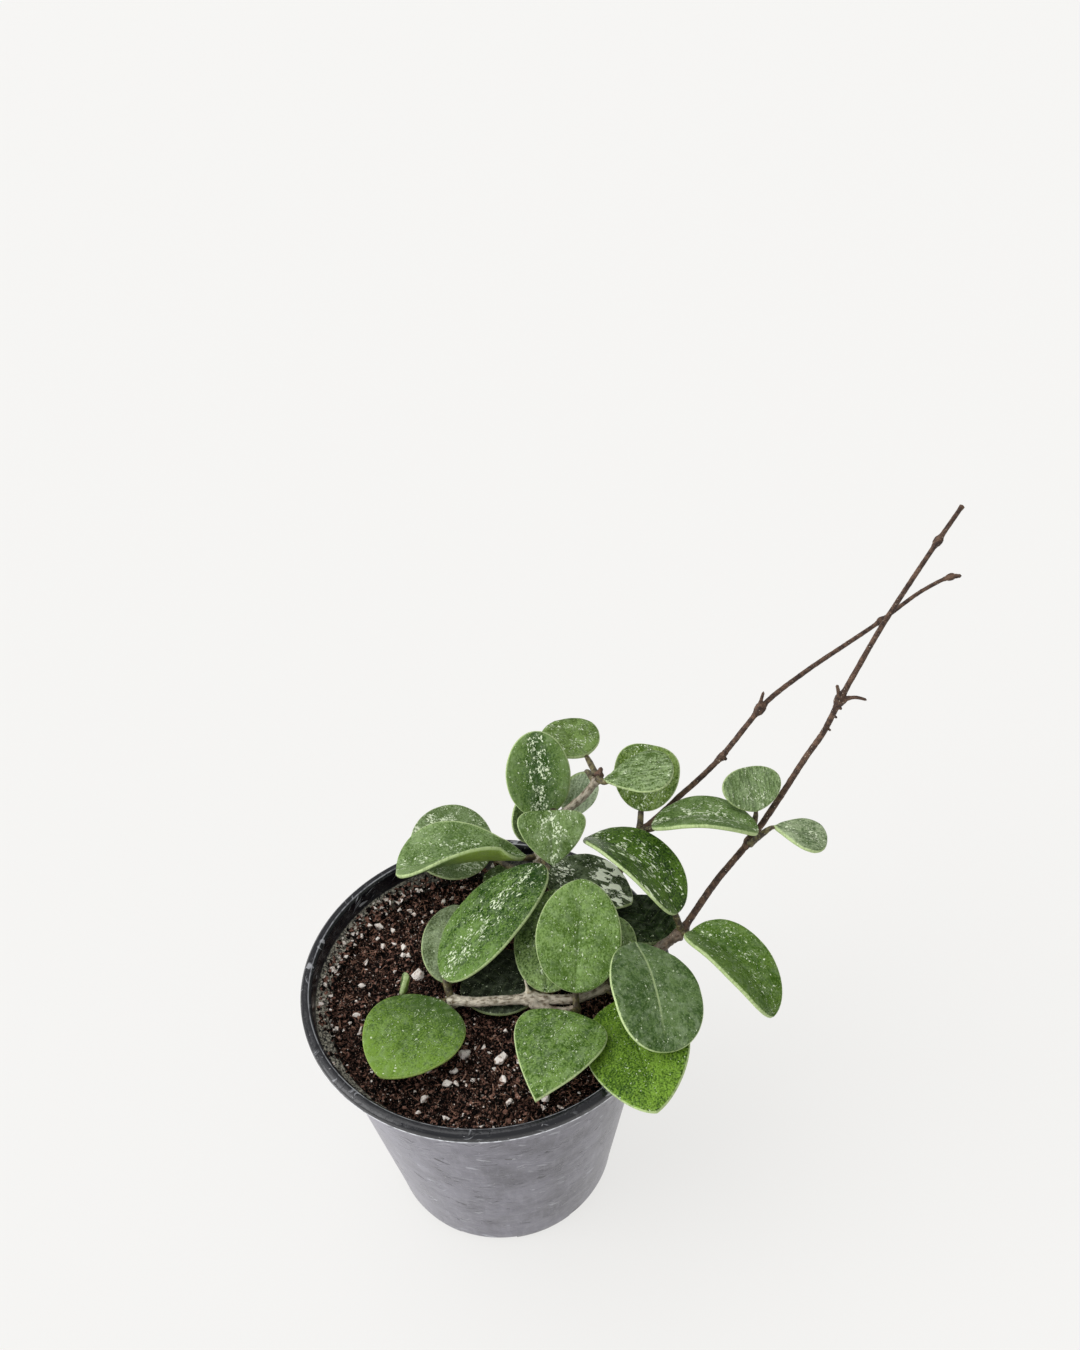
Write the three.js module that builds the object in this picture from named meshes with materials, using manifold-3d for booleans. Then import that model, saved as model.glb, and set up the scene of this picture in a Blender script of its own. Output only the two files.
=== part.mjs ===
// A potted hoya, in millimetres, +Z up, with the origin at the centre of the pot's resting face.
// A round nursery pot is filled with soil. Three woody stems grow out of the soil, two of them run on
// as bare vines, and each thick leaf stands on its own stalk, cut to clear the stem it grows on.

import * as THREE from 'three';
import { mergeVertices } from 'three/addons/utils/BufferGeometryUtils.js';
import Module from 'manifold-3d';

const wasm = await Module();
wasm.setup();

// ---- Driving dimensions, mm ---------------------------------------------------------------------

const GAP = 0.3; // clearance between pieces that touch
const DEGREE = Math.PI / 180;

const POT = {
  height: 90,
  rimRadius: 55,
  rimInnerRadius: 51.7,
  lipDepth: 4, // height of the thickened lip
  skirtRadius: 52.5, // outside of the collar under the lip
  ledgeHeight: 81.4, // height of the inner stacking ledge
  bodyTopRadius: 49.2,
  bodyFootRadius: 35.9,
  footRadius: 33.5,
  footCorner: 6, // height of the rounded corner above the feet
  wall: 1.2,
  floor: 4,
  sides: 48,
};

const FEET = { count: 6, recess: 2.3, innerRadius: 22, share: 0.5, firstAngle: 245 };
const DRAIN = { radius: 3.5, ringRadius: 28.5, sides: 12 };

const SOIL = { level: 80, bump: 0.9, edgeDrop: 1, rings: 5, sides: 48, room: 0.42 };

const LEAF = {
  stations: 9, // steps from the base to the tip
  lanes: 4, // strips across the blade
  ribThickness: 2.2,
  marginThickness: 1.2,
  stalkRadius: 1.05,
  stalkSides: 6,
  stalkSteps: 3,
  stalkReach: 0.08, // how far the stalk runs on under the blade, as a share of the midrib
  stalkSink: 0.4, // how far it lies below the blade's middle there
};

// Outline of a blade: how slowly it widens from the base, and how slowly it closes at the tip.
const ROUND = { open: 0.5, close: 0.5 };
const OVAL = { open: 0.52, close: 0.58 };
const OVATE = { open: 0.5, close: 0.68 };
const POINTED = { open: 0.36, close: 1 };
const BROAD = { open: 0.62, close: 0.46 };
const SPOON = { open: 1.0, close: 0.5 };
const HEART = { open: 0.24, close: 0.92 };
const TROUGH = { open: 0.9, close: 0.5 };
const SPADE = { open: 0.5, close: 0.34 };
const EGG = { open: 0.42, close: 0.58 };

// ---- Stems --------------------------------------------------------------------------------------

const STEM = {
  sides: 7,
  spurSides: 5,
  spurSteps: 2,
  room: 0.37, // a little over the gap, because the sides are flat
};

// Each run of a stem is a route of points, with its radius at both ends. A node is a swelling on it,
// and a spur is a dried stub or an aerial root.
const STEMS = {
  longVine: {
    name: 'stem_long_vine',
    color: 0x4a3b34,
    runs: [
      { radii: [1.5, 1.4], steps: 15, route: [
        [-16, -6, 66], [-14, -5.5, 78], [-10.5, -6.2, 85], [-3, -8, 86.6], [5, -9, 87.8],
        [13, -9.4, 88.3], [19.1, -10.4, 88.6], [26.2, -10.8, 89], [34.4, -9, 91],
        [45.5, -2.8, 93.5], [58.6, 3.8, 98],
      ] },
      { radii: [1.35, 1.25], steps: 4, route: [
        [12.5, -9.4, 88], [19, -13.4, 87.4], [26.2, -14.8, 88.4],
      ] },
      { radii: [1.1, 0.7], steps: 22, route: [
        [58, 3.4, 97.6], [61.2, 7.4, 98.8], [70.7, 17.8, 103.9], [82, 28.1, 109.3], [91.8, 35.7, 119.3],
        [99.8, 40.5, 130.8], [104.9, 42.2, 139.2], [109, 43.6, 150], [115, 50.2, 156],
        [121.9, 58.7, 161], [126, 63.6, 163.6], [135.1, 72, 172], [143, 78.5, 180],
        [152.2, 87.9, 186],
      ] },
    ],
    nodes: [
      { at: [-16, -6, 66], radius: 1.8 },
      { at: [-10.4, -6.2, 85.1], radius: 2.1 }, { at: [13, -9.4, 88.3], radius: 2.2 },
      { at: [26.2, -14.6, 88.4], radius: 1.8 }, { at: [34.4, -9, 91], radius: 1.9 },
      { at: [52.9, 0.6, 95.6], radius: 1.7 }, { at: [58.6, 3.8, 98], radius: 2.2 },
      { at: [82, 28.1, 109.3], radius: 1.7 }, { at: [109, 43.6, 150], radius: 1.7 },
      { at: [143, 78.5, 180], radius: 1.4 }, { at: [152.2, 87.9, 186], radius: 0.9 },
    ],
    spurs: [
      { radii: [0.8, 0.45], route: [[109, 43.6, 150], [108.2, 43, 153.4], [107.4, 42.8, 156.6]] },
      { radii: [0.7, 0.4], route: [[109, 43.6, 150], [113.4, 42.6, 151.4], [116.6, 42, 150.6]] },
      { radii: [0.5, 0.3], route: [[108.1, 43.2, 147.9], [109, 42.8, 147.6], [109.6, 42.5, 147.1]] },
      { radii: [0.5, 0.3], route: [[107, 42.8, 145], [107.8, 42.5, 144.6], [108.4, 42.2, 144.1]] },
      { radii: [0.5, 0.3], route: [[105.4, 42.2, 140.6], [106.1, 41.9, 140.3], [106.8, 41.6, 139.8]] },
      { radii: [0.6, 0.35], route: [[143, 78.5, 180], [144.6, 79, 182.2], [146.6, 80.6, 184]] },
      { radii: [0.4, 0.3], route: [[12.4, -8.6, 89.2], [12, -7, 91], [11.6, -6, 93]] },
    ],
  },
  secondVine: {
    name: 'stem_second_vine',
    color: 0x4d3a32,
    runs: [
      { radii: [1.3, 1.1], steps: 8, route: [
        [34, 23, 66], [36, 25, 80], [40, 29.5, 90], [44.5, 34, 98], [49.3, 32.4, 112],
      ] },
      { radii: [0.95, 0.6], steps: 20, route: [
        [48.8, 32, 111.6], [54.1, 36.6, 112.6], [59.1, 41, 113.5], [62.3, 42.4, 116], [67.1, 43.2, 120.6],
        [75, 44.9, 129],
        [86.6, 48.6, 144], [90.6, 52, 145.4], [103.9, 62, 147.4], [118.6, 72, 149.2],
        [128.9, 78.2, 151.4], [143.4, 86.4, 156], [152.4, 88.8, 158.8], [155.4, 87.4, 160],
      ] },
    ],
    nodes: [
      { at: [34, 23, 66], radius: 1.6 },
      { at: [36, 25, 80.5], radius: 1.9 }, { at: [49.3, 32.4, 112], radius: 1.8 },
      { at: [75, 44.9, 129], radius: 1.2 }, { at: [86.6, 48.6, 144], radius: 1.6 },
      { at: [128.9, 78.2, 151.4], radius: 1.2 }, { at: [152.4, 88.8, 158.8], radius: 1.2 },
    ],
    spurs: [
      { radii: [0.7, 0.4], route: [[86.6, 48.6, 144], [87, 49.4, 147], [87.8, 50.6, 149.2]] },
      { radii: [0.45, 0.3], route: [[75, 44.9, 129], [76, 44.4, 128.7], [76.7, 44.2, 128.3]] },
    ],
  },
  topBranch: {
    name: 'stem_top_branch',
    color: 0x6b5a48,
    runs: [
      { radii: [1.6, 1.15], steps: 12, route: [
        [14, 33, 66], [15.5, 35.5, 80], [16.4, 36.6, 92], [17.8, 37.9, 98], [20.6, 39.6, 105.4],
        [23.8, 39.4, 112.4], [28.2, 39.2, 117], [33, 38.4, 123], [37, 38, 130],
      ] },
    ],
    nodes: [
      { at: [14, 33, 66], radius: 1.9 },
      { at: [16.1, 36, 88], radius: 2 }, { at: [17.8, 37.9, 98], radius: 2 },
      { at: [23.8, 39.4, 112.4], radius: 1.8 }, { at: [37, 38, 130], radius: 1.8 },
    ],
    spurs: [
      { radii: [0.8, 0.5], route: [[37, 38, 130], [37.7, 39.4, 131.1], [38.3, 40.4, 132.2]] },
    ],
  },
};

// ---- Leaves -------------------------------------------------------------------------------------

// Base and tip are the ends of a blade's midrib, and node is where its stalk starts, inside a stem's
// swelling. Roll turns the blade about its length: a positive one shows its face to the left of the
// growing direction. Arch is how far the midrib turns down from base to tip. Fold lifts both halves
// from the midrib, and cup curls them on towards the margins. Angles are in degrees. Opens is the
// share by which that lift is steeper near the base and flatter at the tip. It starts from nothing.
const LEAVES = [
  { name: 'leaf_top_back', stem: 'topBranch', node: [36.6, 38.6, 130.8], base: [34.2, 48.8, 129.5],
    tip: [25.2, 65, 129.2], form: ROUND, width: 18.5, roll: 0, arch: 12, fold: 3, cup: 0 },
  { name: 'leaf_top_front', stem: 'topBranch', node: [23.4, 39.6, 111.6], base: [19.2, 38.6, 114.4],
    tip: [19.1, 51.9, 138], form: ROUND, width: 19.8, roll: 0, arch: 15, fold: 4, cup: 0 },
  { name: 'leaf_top_falling', stem: 'topBranch', node: [25.4, 38.8, 114], base: [22.5, 32.5, 123],
    tip: [22, 23.5, 109], form: HEART, width: 20.5, roll: 0, arch: 60, fold: 4, cup: 0 },
  { name: 'leaf_top_hanging', stem: 'topBranch', node: [36, 38.1, 128.4], base: [34, 46.5, 124.6],
    tip: [28, 44.1, 108.6], form: OVATE, width: 11.5, roll: 70, arch: 15, fold: 6, cup: 0 },
  { name: 'leaf_spoon', stem: 'topBranch', node: [37, 38, 130], base: [38.5, 35.5, 131],
    tip: [59.2, 34, 135.5], form: SPOON, width: 16, roll: -6, arch: 20, fold: 0, cup: 0 },
  { name: 'leaf_right_upright', stem: 'secondVine', node: [49, 32.8, 112.2], base: [49.8, 37.8, 115.2],
    tip: [54.4, 50, 131], form: SPADE, width: 20.5, roll: 0, arch: 10, fold: 3, cup: 0 },
  { name: 'leaf_right_arched', stem: 'secondVine', node: [49.3, 32.4, 112], base: [52.6, 30.2, 115.6],
    tip: [83.4, 24.2, 116.5], form: ROUND, width: 18.6, roll: 15, arch: 62, fold: 14, cup: 0 },
  { name: 'leaf_vine_back', stem: 'longVine', node: [82.5, 29.2, 110], base: [83.8, 30.2, 119.4],
    tip: [81.9, 40.4, 128.3], form: BROAD, width: 18.5, roll: 0, arch: 8, fold: 8, cup: 0 },
  { name: 'leaf_vine_front', stem: 'longVine', node: [81.6, 26.9, 108.9], base: [88, 24.4, 118.7],
    tip: [103.3, 20, 114.6], form: SPOON, width: 12.5, roll: 0, arch: 15, fold: 6, cup: 0 },
  { name: 'leaf_right_glossy', stem: 'longVine', node: [58.6, 3.8, 98], base: [57, 4.8, 104.9],
    tip: [32.7, 31.2, 110.9], form: OVAL, width: 22, roll: -16, arch: 75, fold: 20, cup: 0 },
  { name: 'leaf_silver', stem: 'topBranch', node: [17.8, 37.9, 98], base: [21, 31, 99],
    tip: [45, 16, 98], form: OVATE, width: 21, roll: 0, arch: 15, fold: 4, cup: 0 },
  { name: 'leaf_centre', stem: 'longVine', node: [26.2, -14.6, 88.4], base: [26, -12, 93],
    tip: [30.5, 13, 113.5], form: OVAL, width: 25, roll: 0, arch: 20, fold: 3, cup: 0 },
  { name: 'leaf_centre_back', stem: 'longVine', node: [13, -9.4, 88.3], base: [17.5, -8.2, 89],
    tip: [22.7, 18.9, 103], form: OVAL, width: 22, roll: 0, arch: 15, fold: 3, cup: 0 },
  { name: 'leaf_long', stem: 'longVine', node: [-10.4, -6.2, 85.1], base: [-12, -2.4, 90.6],
    tip: [19.5, 25.5, 106.6], form: OVAL, width: 26, roll: 15, arch: 28, fold: 3, cup: 0 },
  { name: 'leaf_long_back', stem: 'longVine', node: [-10.4, -6.2, 85.1], base: [-11.5, 0.6, 85],
    tip: [-9.5, 27.6, 89], form: OVAL, width: 18, roll: 0, arch: 20, fold: 3, cup: 0 },
  { name: 'leaf_on_soil', stem: 'longVine', node: [13, -9.4, 88.3], base: [17, 3, 84.5],
    tip: [-8, -2, 83], form: OVAL, width: 24, roll: 0, arch: 5, fold: 0, cup: 0 },
  { name: 'leaf_low_left', stem: 'longVine', node: [-10.4, -6.2, 85.1], base: [-13.8, -6.8, 86.4],
    tip: [-30, -33, 88], form: OVATE, width: 30, roll: 0, arch: 25, fold: 0, cup: 0 },
  { name: 'leaf_low_middle', stem: 'longVine', node: [26.2, -14.6, 88.4], base: [24, -19.8, 94],
    tip: [13.2, -49, 95.5], form: POINTED, width: 26, roll: 0, arch: 22, fold: 0, cup: 0 },
  { name: 'leaf_right_low', stem: 'longVine', node: [35.2, -8.8, 91.8], base: [44, -3.2, 102],
    tip: [48.8, -39, 99.6], form: BROAD, width: 26.5, roll: 16, arch: 60, fold: 4, cup: 0 },
  { name: 'leaf_low_bright', stem: 'longVine', node: [34.4, -9, 91], base: [40.6, -12.3, 89],
    tip: [45.2, -53.3, 93.5], form: OVATE, width: 30, roll: -12, arch: 25, fold: 3, cup: 0 },
  { name: 'leaf_far_right', stem: 'longVine', node: [58.6, 3.8, 98], base: [61, 1.5, 100],
    tip: [81, -24, 92], form: EGG, width: 21, roll: 14, arch: 68, fold: 22, cup: 0 },
  { name: 'leaf_dark_back', stem: 'longVine', node: [52.9, 0.6, 95.6], base: [52, 4, 93.6],
    tip: [45.6, 23.8, 92], form: OVAL, width: 20, roll: 0, arch: 12, fold: 0, cup: 0 },
  { name: 'leaf_sheltered', stem: 'longVine', node: [33.6, -8.8, 90.4], base: [36.8, -4.8, 92.3],
    tip: [39.8, 11, 98.6], form: OVAL, width: 14, roll: 0, arch: 10, fold: 0, cup: 0 },
  { name: 'leaf_left_cupped', stem: 'topBranch', node: [17.8, 37.9, 98], base: [14, 36.5, 99.5],
    tip: [-27, 35.5, 97.5], form: TROUGH, width: 26, roll: -6, arch: 24, fold: 42, cup: 16,
    opens: 0.55 },
  { name: 'leaf_left_round', stem: 'topBranch', node: [15.8, 36.6, 89.4], base: [2.2, 45.8, 90.4],
    tip: [-22.5, 54, 96.8], form: ROUND, width: 27, roll: 12, arch: 12, fold: 4, cup: 0 },
  { name: 'leaf_left_pale', stem: 'topBranch', node: [15.8, 35.6, 86.6], base: [10.4, 37.6, 85.4],
    tip: [-0.4, 43.6, 84], form: OVAL, width: 12, roll: 10, arch: 10, fold: 4, cup: 0 },
  { name: 'leaf_behind_left', stem: 'topBranch', node: [17.8, 37.9, 98], base: [17.5, 40, 102],
    tip: [15.5, 48.5, 116], form: EGG, width: 14, roll: 0, arch: 8, fold: 3, cup: 0 },
  { name: 'leaf_low_sprout', stem: null, node: [-23, 0.4, 77], base: [-25.2, -0.2, 84],
    tip: [-23.4, -0.3, 91], form: OVATE, width: 7, roll: 0, arch: 8, fold: 4, cup: 0 },
];

// Perlite chips that stand out of the soil: place on the surface and radius.
const CHIPS = [
  { at: [-34.5, 29], radius: 1.6 }, { at: [-21.5, 9], radius: 2.4 }, { at: [-7.5, -21], radius: 2.2 },
  { at: [3.5, -24], radius: 2.2 }, { at: [-12, -31], radius: 1.6 }, { at: [4, -30], radius: 1.5 },
  { at: [-18.5, -35], radius: 1.6 }, { at: [15.5, -37], radius: 1.8 }, { at: [5.5, -38.5], radius: 1.4 },
  { at: [-17.5, -26], radius: 1.3 }, { at: [-10, -26.5], radius: 1.3 }, { at: [-14, 38], radius: 1.3 },
  { at: [-26, 19], radius: 1.4 }, { at: [-39.5, -5], radius: 1.3 }, { at: [-38.5, 6], radius: 1.3 },
];

// ---- Solids -------------------------------------------------------------------------------------

const vector = (point) => new THREE.Vector3(...point);

// A closed geometry as a solid: shared vertices are merged and faces that shrank to a line are left out.
function toSolid(geometry) {
  const plain = geometry.clone();
  plain.deleteAttribute('normal');
  plain.deleteAttribute('uv');
  const merged = mergeVertices(plain, 1e-4);
  const corners = merged.index.array;
  const faces = [];
  for (let i = 0; i < corners.length; i += 3) {
    const [a, b, c] = [corners[i], corners[i + 1], corners[i + 2]];
    if (a !== b && b !== c && c !== a) faces.push(a, b, c);
  }
  return new wasm.Manifold(new wasm.Mesh({
    numProp: 3,
    vertProperties: new Float32Array(merged.attributes.position.array),
    triVerts: new Uint32Array(faces),
  }));
}

function toGeometry(solid) {
  const { vertProperties, triVerts } = solid.getMesh();
  const geometry = new THREE.BufferGeometry();
  geometry.setAttribute('position', new THREE.BufferAttribute(vertProperties, 3));
  geometry.setIndex(new THREE.BufferAttribute(triVerts, 1));
  geometry.computeVertexNormals();
  return geometry;
}

const join = (solids) => solids.reduce((whole, solid) => whole.add(solid));

// The biggest body of a solid, so that a cut leaves no loose scrap behind.
function mainBody(solid) {
  return solid.decompose().reduce((best, body) => (body.volume() > best.volume() ? body : best));
}

// A round bar along a route, whose radius runs evenly from its first to its second value.
function taperedBar(route, radii, steps, sides) {
  const path = new THREE.CatmullRomCurve3(route.map(vector));
  const corners = Array.from({ length: sides }, (_, i) => {
    const angle = (2 * Math.PI * i) / sides;
    return new THREE.Vector2(Math.cos(angle), Math.sin(angle));
  });
  const bar = new THREE.ExtrudeGeometry(new THREE.Shape(corners), { steps, extrudePath: path });
  const centres = path.getSpacedPoints(steps);
  const { tangents } = path.computeFrenetFrames(steps, false);
  const position = bar.attributes.position;
  const point = new THREE.Vector3();
  for (let i = 0; i < position.count; i += 1) {
    point.fromBufferAttribute(position, i);
    const ring = centres.findIndex((centre, step) => {
      const arm = point.clone().sub(centre);
      return Math.abs(arm.length() - 1) < 1e-4 && Math.abs(arm.dot(tangents[step])) < 1e-4;
    });
    const radius = THREE.MathUtils.lerp(radii[0], radii[1], ring / steps);
    point.sub(centres[ring]).multiplyScalar(radius).add(centres[ring]);
    position.setXYZ(i, point.x, point.y, point.z);
  }
  return toSolid(bar);
}

// ---- Pot and soil -------------------------------------------------------------------------------

// A profile of [radius, height] points turned round the vertical axis.
function turned(profile, sides) {
  const points = profile.map(([radius, height]) => new THREE.Vector2(radius, height));
  return new THREE.LatheGeometry(points, sides).rotateX(Math.PI / 2);
}

// Inner radius of the pot's tapering wall at a height.
function innerRadius(height) {
  const rise = (height - POT.footCorner) / (POT.ledgeHeight - POT.footCorner);
  return THREE.MathUtils.lerp(POT.bodyFootRadius, POT.bodyTopRadius, rise) - POT.wall;
}

function makePot() {
  const lipFoot = POT.height - POT.lipDepth;
  const chamfer = 0.9;
  const shell = toSolid(turned([
    [0, 0],
    [POT.footRadius, 0],
    [POT.footRadius + 1.3, 0.9],
    [POT.bodyFootRadius - 0.4, 3],
    [POT.bodyFootRadius, POT.footCorner],
    [POT.bodyTopRadius, POT.ledgeHeight - 0.6],
    [POT.skirtRadius, lipFoot - 2.4],
    [POT.skirtRadius, lipFoot],
    [POT.rimRadius - chamfer, lipFoot],
    [POT.rimRadius, lipFoot + chamfer],
    [POT.rimRadius, POT.height - chamfer],
    [POT.rimRadius - chamfer, POT.height],
    [POT.rimInnerRadius + chamfer, POT.height],
    [POT.rimInnerRadius, POT.height - chamfer],
    [POT.rimInnerRadius - 0.4, POT.ledgeHeight + 2.2],
    [innerRadius(POT.ledgeHeight), POT.ledgeHeight],
    [innerRadius(POT.footCorner), POT.footCorner],
    [innerRadius(POT.footCorner) - 1.8, POT.floor],
    [0, POT.floor],
  ], POT.sides));
  const cuts = [];
  const pitch = 360 / FEET.count;
  for (let i = 0; i < FEET.count; i += 1) {
    const start = (FEET.firstAngle + i * pitch) * DEGREE;
    const end = start + pitch * FEET.share * DEGREE;
    const recess = new THREE.Shape();
    recess.absarc(0, 0, FEET.innerRadius, start, end, false);
    recess.absarc(0, 0, POT.rimRadius, end, start, true);
    const options = { depth: FEET.recess + 1, bevelEnabled: false, curveSegments: 4 };
    cuts.push(toSolid(new THREE.ExtrudeGeometry(recess, options).translate(0, 0, -1)));
    const middle = (start + end) / 2;
    const drain = new THREE.CylinderGeometry(DRAIN.radius, DRAIN.radius, 4 * POT.floor, DRAIN.sides)
      .rotateX(Math.PI / 2)
      .translate(DRAIN.ringRadius * Math.cos(middle), DRAIN.ringRadius * Math.sin(middle), 0);
    cuts.push(toSolid(drain));
  }
  return shell.subtract(join(cuts));
}

// Height of the uneven soil over a point, level at the wall and a little higher towards the middle.
function soilHeight(x, y) {
  const reach = Math.min(1, Math.hypot(x, y) / innerRadius(SOIL.level));
  const waves = Math.sin(x / 4.1 + 1) * Math.cos(y / 3.3) + 0.6 * Math.sin(x / 2.3 - y / 2.9);
  return SOIL.level - SOIL.edgeDrop * reach ** 2 + SOIL.bump * waves * (1 - reach ** 6);
}

function makeSoil(holes) {
  const floor = POT.floor + GAP;
  const edge = innerRadius(SOIL.level - SOIL.edgeDrop) - SOIL.room;
  const surface = Array.from({ length: SOIL.rings }, (_, i) => {
    const share = (SOIL.rings - i) / SOIL.rings;
    return [share * edge, SOIL.level];
  });
  const body = turned([
    [0, floor],
    [innerRadius(POT.footCorner) - 1.8 - 1.4 * SOIL.room, floor],
    [innerRadius(POT.footCorner) - SOIL.room, POT.footCorner],
    ...surface,
    [0, SOIL.level],
  ], SOIL.sides);
  const position = body.attributes.position;
  for (let i = 0; i < position.count; i += 1) {
    if (position.getZ(i) === SOIL.level) {
      position.setZ(i, soilHeight(position.getX(i), position.getY(i)));
    }
  }
  const chips = CHIPS.map(({ at: [x, y], radius }, i) => toSolid(
    new THREE.IcosahedronGeometry(radius, 0).rotateZ(i).translate(x, y, soilHeight(x, y)),
  ));
  return mainBody(join([toSolid(body), ...chips]).subtract(join(holes)));
}

// ---- Stems --------------------------------------------------------------------------------------

// A whole stem with its side shoots, nodes and spurs. Grown by an extra radius, it is the room that
// other pieces leave for it.
function makeStem(stem, extra) {
  const grow = (radii) => radii.map((radius) => radius + extra);
  const runs = stem.runs.map(({ route, radii, steps }) => (
    taperedBar(route, grow(radii), steps, STEM.sides)
  ));
  const spurs = stem.spurs.map(({ route, radii }) => (
    taperedBar(route, grow(radii), STEM.spurSteps, STEM.spurSides)
  ));
  const nodes = stem.nodes.map(({ at, radius }) => toSolid(
    new THREE.IcosahedronGeometry(radius + extra, 1).translate(...at),
  ));
  return join([...runs, ...nodes, ...spurs]);
}

// ---- Leaves -------------------------------------------------------------------------------------

// The curved middle surface of a blade. It answers with the point on the midrib and the directions
// across and out of the blade there, for a share of the way from base to tip.
function midrib(leaf) {
  const base = vector(leaf.base);
  const chord = vector(leaf.tip).sub(base);
  const along = chord.clone().normalize();
  const level = Math.hypot(along.x, along.y);
  const upright = new THREE.Vector3(-along.x * along.z, -along.y * along.z, level ** 2)
    .divideScalar(level);
  const roll = leaf.roll * DEGREE;
  const left = upright.clone().cross(along);
  const face = upright.clone().multiplyScalar(Math.cos(roll)).addScaledVector(left, Math.sin(roll));
  const across = face.clone().cross(along);
  const bend = leaf.arch * DEGREE;
  const radius = chord.length() / (2 * Math.sin(bend / 2));
  const centre = base.clone().add(chord.multiplyScalar(0.5))
    .addScaledVector(face, -radius * Math.cos(bend / 2));
  return (share) => {
    const turn = (share - 0.5) * bend;
    const out = face.clone().multiplyScalar(Math.cos(turn)).addScaledVector(along, Math.sin(turn));
    return { point: centre.clone().addScaledVector(out, radius), across, out };
  };
}

// Half of a blade's width, for a share of the way from base to tip.
function halfWidth(leaf, share) {
  const { open, close } = leaf.form;
  const widest = open / (open + close);
  const rise = (share / widest) ** open;
  return (leaf.width / 2) * rise * ((1 - share) / (1 - widest)) ** close;
}

// A blade is two like sheets of triangles, an upper and a lower one, closed by a wall at the margin.
function makeBlade(leaf) {
  const rib = midrib(leaf);
  const corners = { upper: [], lower: [] };
  const rows = [];
  for (let station = 0; station <= LEAF.stations; station += 1) {
    const share = (1 - Math.cos((Math.PI * station) / LEAF.stations)) / 2;
    const { point, across, out } = rib(share);
    const atEnd = station === 0 || station === LEAF.stations;
    const lanes = atEnd ? [1] : Array.from({ length: LEAF.lanes + 1 }, (_, i) => (
      (2 * i) / LEAF.lanes - 1
    ));
    rows.push(lanes.map((lane) => {
      const reach = atEnd ? 0 : Math.abs(lane) * halfWidth(leaf, share);
      const steep = leaf.opens ? (1 + leaf.opens * (1 - 2 * share)) * Math.min(1, 5 * share) : 1;
      const lift = atEnd || lane === 0 ? 0 : (
        (leaf.fold + (leaf.cup * Math.abs(lane)) / 2) * steep * DEGREE
      );
      const side = Math.sign(lane);
      const middle = point.clone()
        .addScaledVector(across, side * reach * Math.cos(lift))
        .addScaledVector(out, reach * Math.sin(lift));
      const normal = out.clone().multiplyScalar(Math.cos(lift))
        .addScaledVector(across, -side * Math.sin(lift));
      const thickness = THREE.MathUtils.lerp(LEAF.ribThickness, LEAF.marginThickness, lane ** 2);
      corners.upper.push(middle.clone().addScaledVector(normal, thickness / 2));
      corners.lower.push(middle.clone().addScaledVector(normal, -thickness / 2));
      return corners.upper.length - 1;
    }));
  }
  const count = corners.upper.length;
  const faces = [];
  const sheet = (a, b, c) => {
    faces.push(c, b, a);
    faces.push(count + a, count + b, count + c);
  };
  for (let station = 0; station < LEAF.stations; station += 1) {
    const [near, far] = [rows[station], rows[station + 1]];
    for (let lane = 0; lane < LEAF.lanes; lane += 1) {
      if (near.length > 1) sheet(near[lane], near[lane + 1], far[far.length > 1 ? lane : 0]);
      if (far.length > 1) sheet(near[near.length > 1 ? lane + 1 : 0], far[lane + 1], far[lane]);
    }
  }
  const margin = [
    ...rows.map((row) => row[0]),
    ...rows.slice(1, -1).reverse().map((row) => row[LEAF.lanes]),
  ];
  margin.forEach((corner, i) => {
    const next = margin[(i + 1) % margin.length];
    faces.push(count + next, next, corner, count + corner, count + next, corner);
  });
  const geometry = new THREE.BufferGeometry();
  geometry.setFromPoints([...corners.upper, ...corners.lower]);
  geometry.setIndex(faces);
  return toSolid(geometry);
}

// The stalk starts inside the stem's node and runs on under the blade as the root of its midrib.
function makeStalk(leaf, extra) {
  const rib = midrib(leaf);
  const under = (share) => {
    const { point, out } = rib(share);
    return point.addScaledVector(out, -LEAF.stalkSink).toArray();
  };
  const start = vector(leaf.node);
  start.add(start.clone().sub(vector(leaf.base)).setLength(extra));
  const route = [start.toArray(), under(0), under(LEAF.stalkReach)];
  const radius = LEAF.stalkRadius + extra;
  return taperedBar(route, [radius, radius], LEAF.stalkSteps, LEAF.stalkSides);
}

function makeLeaf(leaf, clearances) {
  const grown = makeBlade(leaf).add(makeStalk(leaf, 0));
  return leaf.stem ? mainBody(grown.subtract(clearances[leaf.stem])) : grown;
}

// ---- The whole plant ----------------------------------------------------------------------------

const plant = new THREE.Group();

function place(name, solid, color, roughness) {
  const material = new THREE.MeshStandardMaterial({ color, roughness, metalness: 0 });
  const mesh = new THREE.Mesh(toGeometry(solid), material);
  mesh.name = name;
  plant.add(mesh);
}

const clearances = {};
for (const [key, stem] of Object.entries(STEMS)) {
  clearances[key] = makeStem(stem, STEM.room);
  place(stem.name, makeStem(stem, 0), stem.color, 0.8);
}

for (const leaf of LEAVES) place(leaf.name, makeLeaf(leaf, clearances), 0x3f6e2c, 0.55);

const sprouts = LEAVES.filter((leaf) => !leaf.stem).map((leaf) => makeStalk(leaf, STEM.room));
place('soil', makeSoil([...Object.values(clearances), ...sprouts]), 0x2b1c16, 0.95);
place('pot', makePot(), 0x35363c, 0.45);

export default plant;
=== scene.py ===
"""A potted hoya, dressed over its fixed frame: fleshy flecked leaves, bark, peat, perlite and pot."""

import logging
import math
import random
from bisect import bisect_right
from collections.abc import Callable, Iterable
from dataclasses import dataclass, field, replace
from enum import Enum

import bmesh
import bpy
from mathutils import Matrix, Vector, noise

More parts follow.
